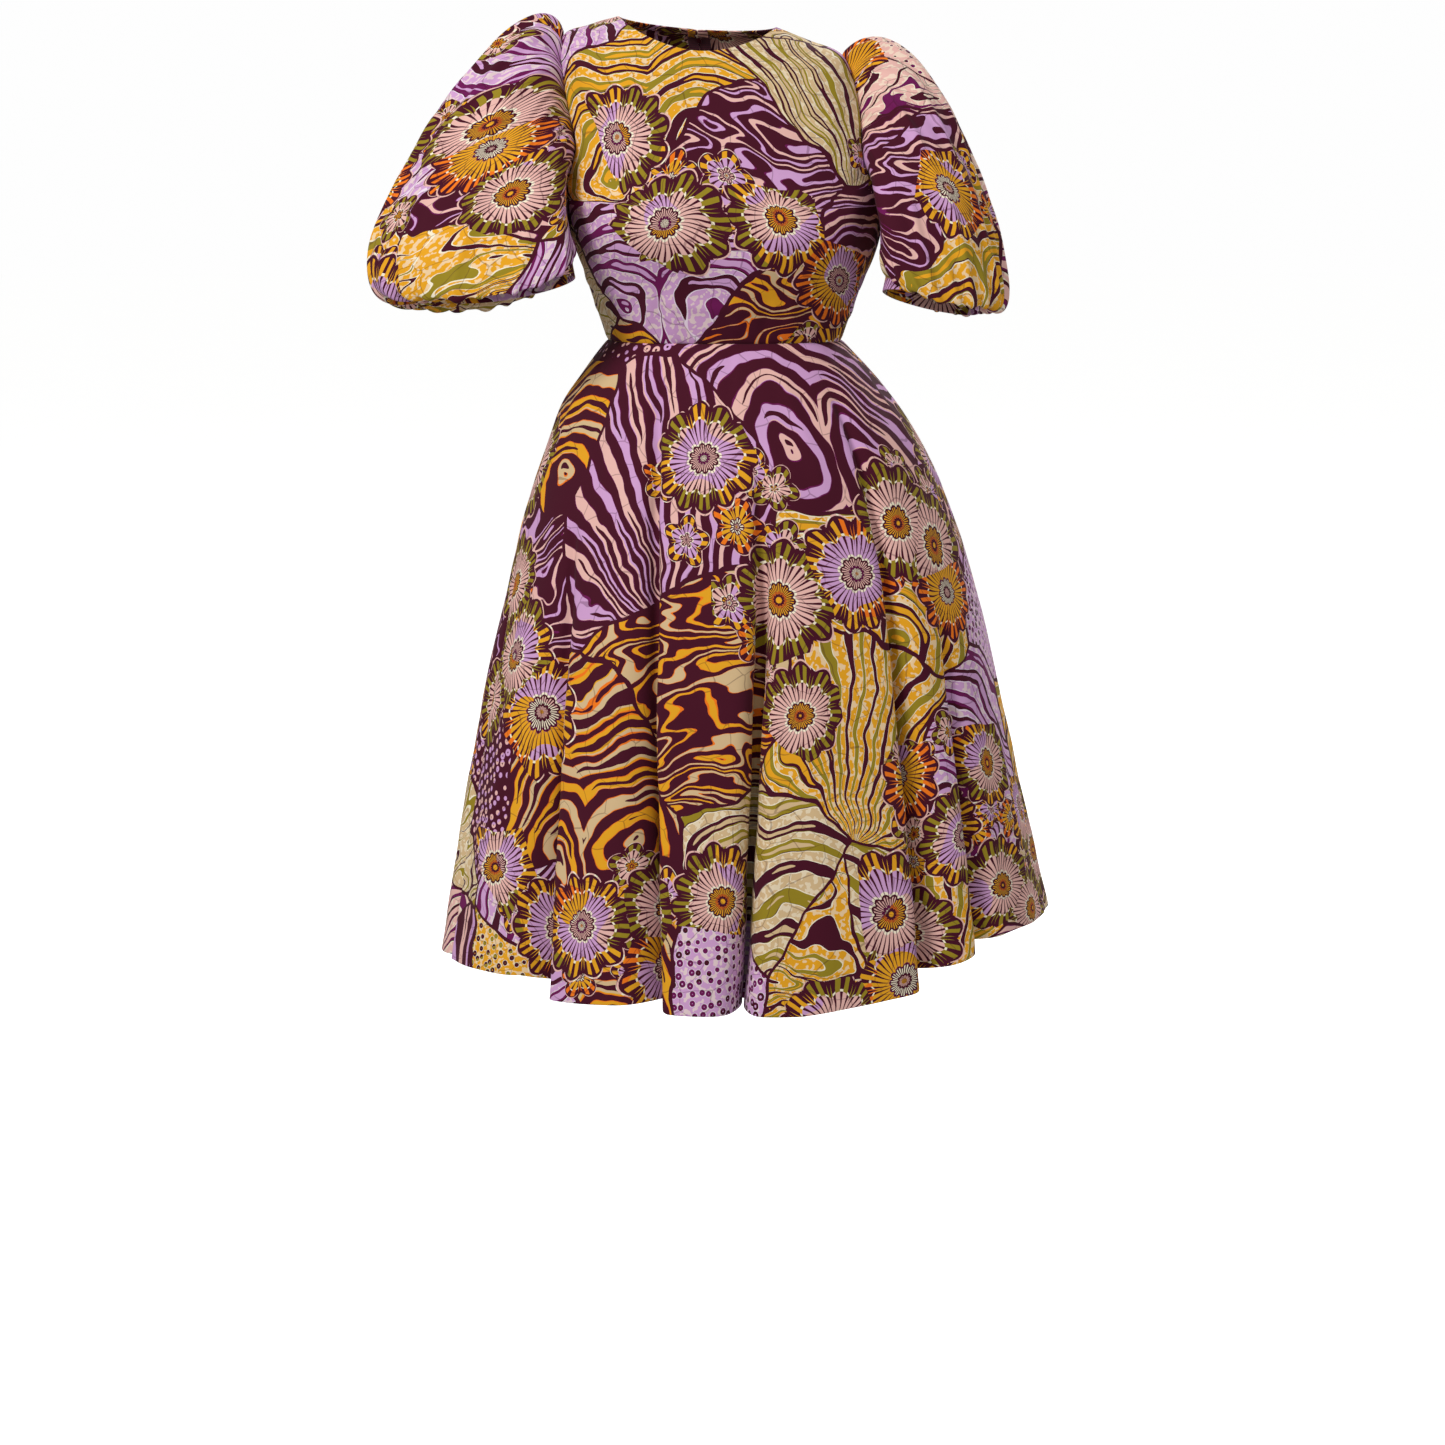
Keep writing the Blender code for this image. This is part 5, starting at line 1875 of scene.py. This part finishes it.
    @staticmethod
    def weave(g: Graph, cut: Node) -> Node:
        """Plain weave: real threads are 0.25 mm apart, drawn 1 mm apart so that they show.

        Args:
            g: the material's graph.
            cut: the place on the cloth.

        Returns:
            The bump node.
        """
        threads = g.add("VectorMath", cut, into={"Scale": 2 * math.pi * 1000}, operation="SCALE")
        thread = g.add("SeparateXYZ", threads)
        warp = g.add("Math", thread.outputs[0], operation="SINE")
        weft = g.add("Math", thread.outputs[1], operation="SINE")
        height = g.add("Math", warp, weft, operation="MULTIPLY")
        return g.add("Bump", into={"Strength": 0.12, "Distance": 0.0002, "Height": height})


@dataclass(frozen=True)
class PolyesterTape:
    """Zip tape: woven polyester in maroon. To the eye it is flat and dull, with fine ribs."""

    # Colours of the painted shade in the grooves and the painted highlight on the ribs
    groove: str = "35091A"
    rib: str = "5A1A30"

    def material(self) -> bpy.types.Material:
        """Ribs across the tape: real ribs are 0.5 mm apart, drawn 2 mm apart so that they show, with
        painted shade in the grooves and a painted highlight on the ribs.

        Returns:
            The tape's material.
        """
        g = Graph("woven_polyester_tape")
        place = g.add("TexCoord").outputs["Object"]
        ribs = g.add("TexWave", place, into={"Scale": 160.0, "Distortion": 0.6}, bands_direction="Z")
        # Painted shade and painted highlight: the colour follows the ribs' wave, darker in the grooves
        shade = g.add("Mix", ribs.outputs["Fac"], linear(self.groove), linear(self.rib), data_type="RGBA")
        bump = g.add("Bump", into={"Strength": 0.3, "Distance": 0.0003, "Height": ribs.outputs["Fac"]})
        return g.finish(Base_Color=shade, Normal=bump, Roughness=0.8, Sheen_Weight=0.1)


@dataclass(frozen=True)
class PolyesterThread:
    """Sewing thread: twisted polyester, slightly shiny, in the print's maroon."""

    # Colours of the painted shade between the plies and the painted highlight on them
    shade: str = "3A0B1B"
    shine: str = "6B2138"

    def material(self) -> bpy.types.Material:
        """Fine twist: a slanted wave, drawn coarser than the real 0.1 mm ply so that it shows, as painted
        shade between the plies and a painted highlight on them.

        Returns:
            The thread's material.
        """
        g = Graph("polyester_thread")
        place = g.add("TexCoord").outputs["Object"]
        twist = g.add("TexWave", place, into={"Scale": 700.0}, bands_direction="DIAGONAL")
        # Painted shade and painted highlight along the twist's wave
        colour = g.add(
            "Mix", twist.outputs["Fac"], linear(self.shade), linear(self.shine), data_type="RGBA"
        )
        return g.finish(Base_Color=colour, Roughness=0.5, Sheen_Weight=0.1)


@dataclass(frozen=True)
class LacqueredZinc:
    """Slider and pull: die-cast zinc under tinted lacquer, smooth with faint casting unevenness."""

    lacquer: str = "5A1226"
    bare: str = "B9A7A0"

    def material(self) -> bpy.types.Material:
        """Maroon lacquer over metal, worn through in small specks.

        Returns:
            The metal's material.
        """
        g = Graph("lacquered_die_cast_zinc")
        place = g.add("TexCoord").outputs["Object"]
        grain = g.add("TexNoise", place, into={"Scale": 900.0, "Detail": 3.0})
        wear = g.add("MapRange", grain, 0.62, 0.74, 0.0, 1.0)
        shade = g.add("Mix", wear, linear(self.lacquer), linear(self.bare), data_type="RGBA")
        rough = g.add("MapRange", grain, 0.3, 0.7, 0.24, 0.42)
        bump = g.add("Bump", into={"Strength": 0.15, "Distance": 0.0001, "Height": grain})
        return g.finish(Base_Color=shade, Roughness=rough, Normal=bump, Metallic=0.85)


@dataclass(frozen=True)
class Studio:
    """Plain pale floor, soft light and the camera at the photograph's angle."""

    camera_place: tuple[float, float, float] = (0.027, -3.3, -0.17)
    pitch_down: float = math.radians(10.2)
    lens: float = 74.74
    floor_reach: float = 40.0
    backdrop: float = 0.99
    room: float = 0.37
    albedo: float = 0.97
    aim: tuple[float, float, float] = (0.03, 0.0, -0.55)
    lamps: tuple[tuple[str, tuple[float, float, float], float, float], ...] = (
        ("key", (-2.6, -3.0, 2.4), 1.5, 165),
        ("fill", (3.2, -2.6, 0.6), 2.6, 26),
        ("rim", (1.8, 3.4, 2.4), 1.8, 120),
    )

    def floor(self) -> None:
        """A wide flat floor, in matt pale paint that is as light as the backdrop behind it."""
        reach = self.floor_reach
        corners = np.array([(-reach, -reach), (reach, -reach), (reach, reach), (-reach, reach)])
        points = np.column_stack([corners, np.full(4, FLOOR_Z)])
        g = Graph("matt_floor_paint")
        place = g.add("TexCoord").outputs["Object"]
        cloud = g.add("TexNoise", place, into={"Scale": 3.0, "Detail": 4.0})
        shade = g.add("Mix", cloud, linear("FBFBFA"), linear("FDFDFC"), data_type="RGBA")
        material = g.finish(
            Base_Color=shade,
            Roughness=0.9,
            Specular_IOR_Level=0.0,
            Emission_Color=linear("FFFFFF"),
            Emission_Strength=self.backdrop - self.albedo * self.room,
        )
        floor = mesh_object("studio_floor", points, np.array([[0, 1, 2, 3]]), material)
        floor.visible_diffuse = False
        floor.visible_glossy = False

    def lights(self) -> None:
        """A large key from the upper left in front, a wide fill from the right, one behind, and a
        room that is white to look at and gives a softer light."""
        world = bpy.data.worlds.new("studio_room")
        bpy.context.scene.world = world
        world.use_nodes = True
        tree = world.node_tree
        background = tree.nodes["Background"]
        background.inputs[0].default_value = linear("FFFFFF")
        seen = tree.nodes.new("ShaderNodeLightPath")
        level = tree.nodes.new("ShaderNodeMapRange")
        level.inputs["To Min"].default_value = self.room
        level.inputs["To Max"].default_value = self.backdrop
        tree.links.new(seen.outputs["Is Camera Ray"], level.inputs["Value"])
        tree.links.new(level.outputs[0], background.inputs[1])
        for name, place, size, power in self.lamps:
            lamp = bpy.data.lights.new(name, "AREA")
            lamp.shape, lamp.size, lamp.energy = "DISK", size, power
            made = bpy.data.objects.new(name, lamp)
            bpy.context.scene.collection.objects.link(made)
            back = unit(np.array(place) - np.array(self.aim))
            side = unit(np.cross(np.array([0, 0, 1.0]), back))
            turned = Matrix(np.column_stack([side, np.cross(back, side), back]).tolist()).to_4x4()
            turned.translation = place
            made.matrix_world = turned

    def camera(self) -> None:
        """The camera, level from side to side and pitched down at the dress."""
        data = bpy.data.cameras.new("photo_camera")
        data.lens = self.lens
        data.sensor_width = 36
        made = bpy.data.objects.new("photo_camera", data)
        bpy.context.scene.collection.objects.link(made)
        pitch = Matrix.Rotation(QUARTER - self.pitch_down, 4, "X")
        made.matrix_world = Matrix.Translation(self.camera_place) @ pitch
        bpy.context.scene.camera = made

    def build(self) -> None:
        """Sets the whole studio, with colours shown as they are."""
        self.floor()
        self.lights()
        self.camera()
        bpy.context.scene.view_settings.view_transform = "Standard"


def main() -> None:
    """Builds the dress piece by piece over its frame."""
    logging.basicConfig(level=logging.INFO, format="%(name)s: %(message)s")
    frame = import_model()
    Studio().build()

    print_cloth = WaxPrint().material()
    tape = PolyesterTape().material()
    thread = PolyesterThread().material()
    zinc = LacqueredZinc().material()
    torso = Torso()
    bodice, skirt = Bodice(torso), FlaredSkirt()
    back_zip = BackZip(torso, skirt)
    stitching = Stitching()
    zip_pieces = {side: (back_zip.tape(side, tape), back_zip.coil(side, tape)) for side in Side}
    front = bodice.front()
    backs = {side: bodice.back(side) for side in Side}
    front_edges = {Side.RIGHT: Edge.FIRST_COLUMN, Side.LEFT: Edge.LAST_COLUMN}
    panels = [front, *backs.values(), skirt.front(), skirt.back(Side.LEFT), skirt.back(Side.RIGHT)]
    for side in Side:
        front_edge = bodice.armhole(front, front_edges[side])
        sleeve = puff_sleeve(side, front_edge, bodice.armhole(backs[side], Edge.FIRST_COLUMN))
        panels += [sleeve.cloth(), sleeve.band()]
    for panel in (front, *backs.values()):
        panel.turn_in_all(bodice.allowance, bodice.neck_hem)
    for panel in panels:
        made = panel.sew(print_cloth)
        with_pieces = [
            stitching.row(f"{panel.node}_stitches", line, inward, thread)
            for line, inward in panel.stitch_lines
        ]
        if panel.node.startswith("bodice_back"):
            with_pieces += zip_pieces[Side.LEFT if panel.node.endswith("left") else Side.RIGHT]
        panel.declare(made, tuple(with_pieces))
        log.info("%s: %d points", made.name, len(made.data.vertices))
    for node in ("zip_slider", "zip_pull"):
        frame["nodes"][node].data.materials.clear()
        frame["nodes"][node].data.materials.append(zinc)
        log.info("%s: new finish", node)


if __name__ == "__main__":
    main()
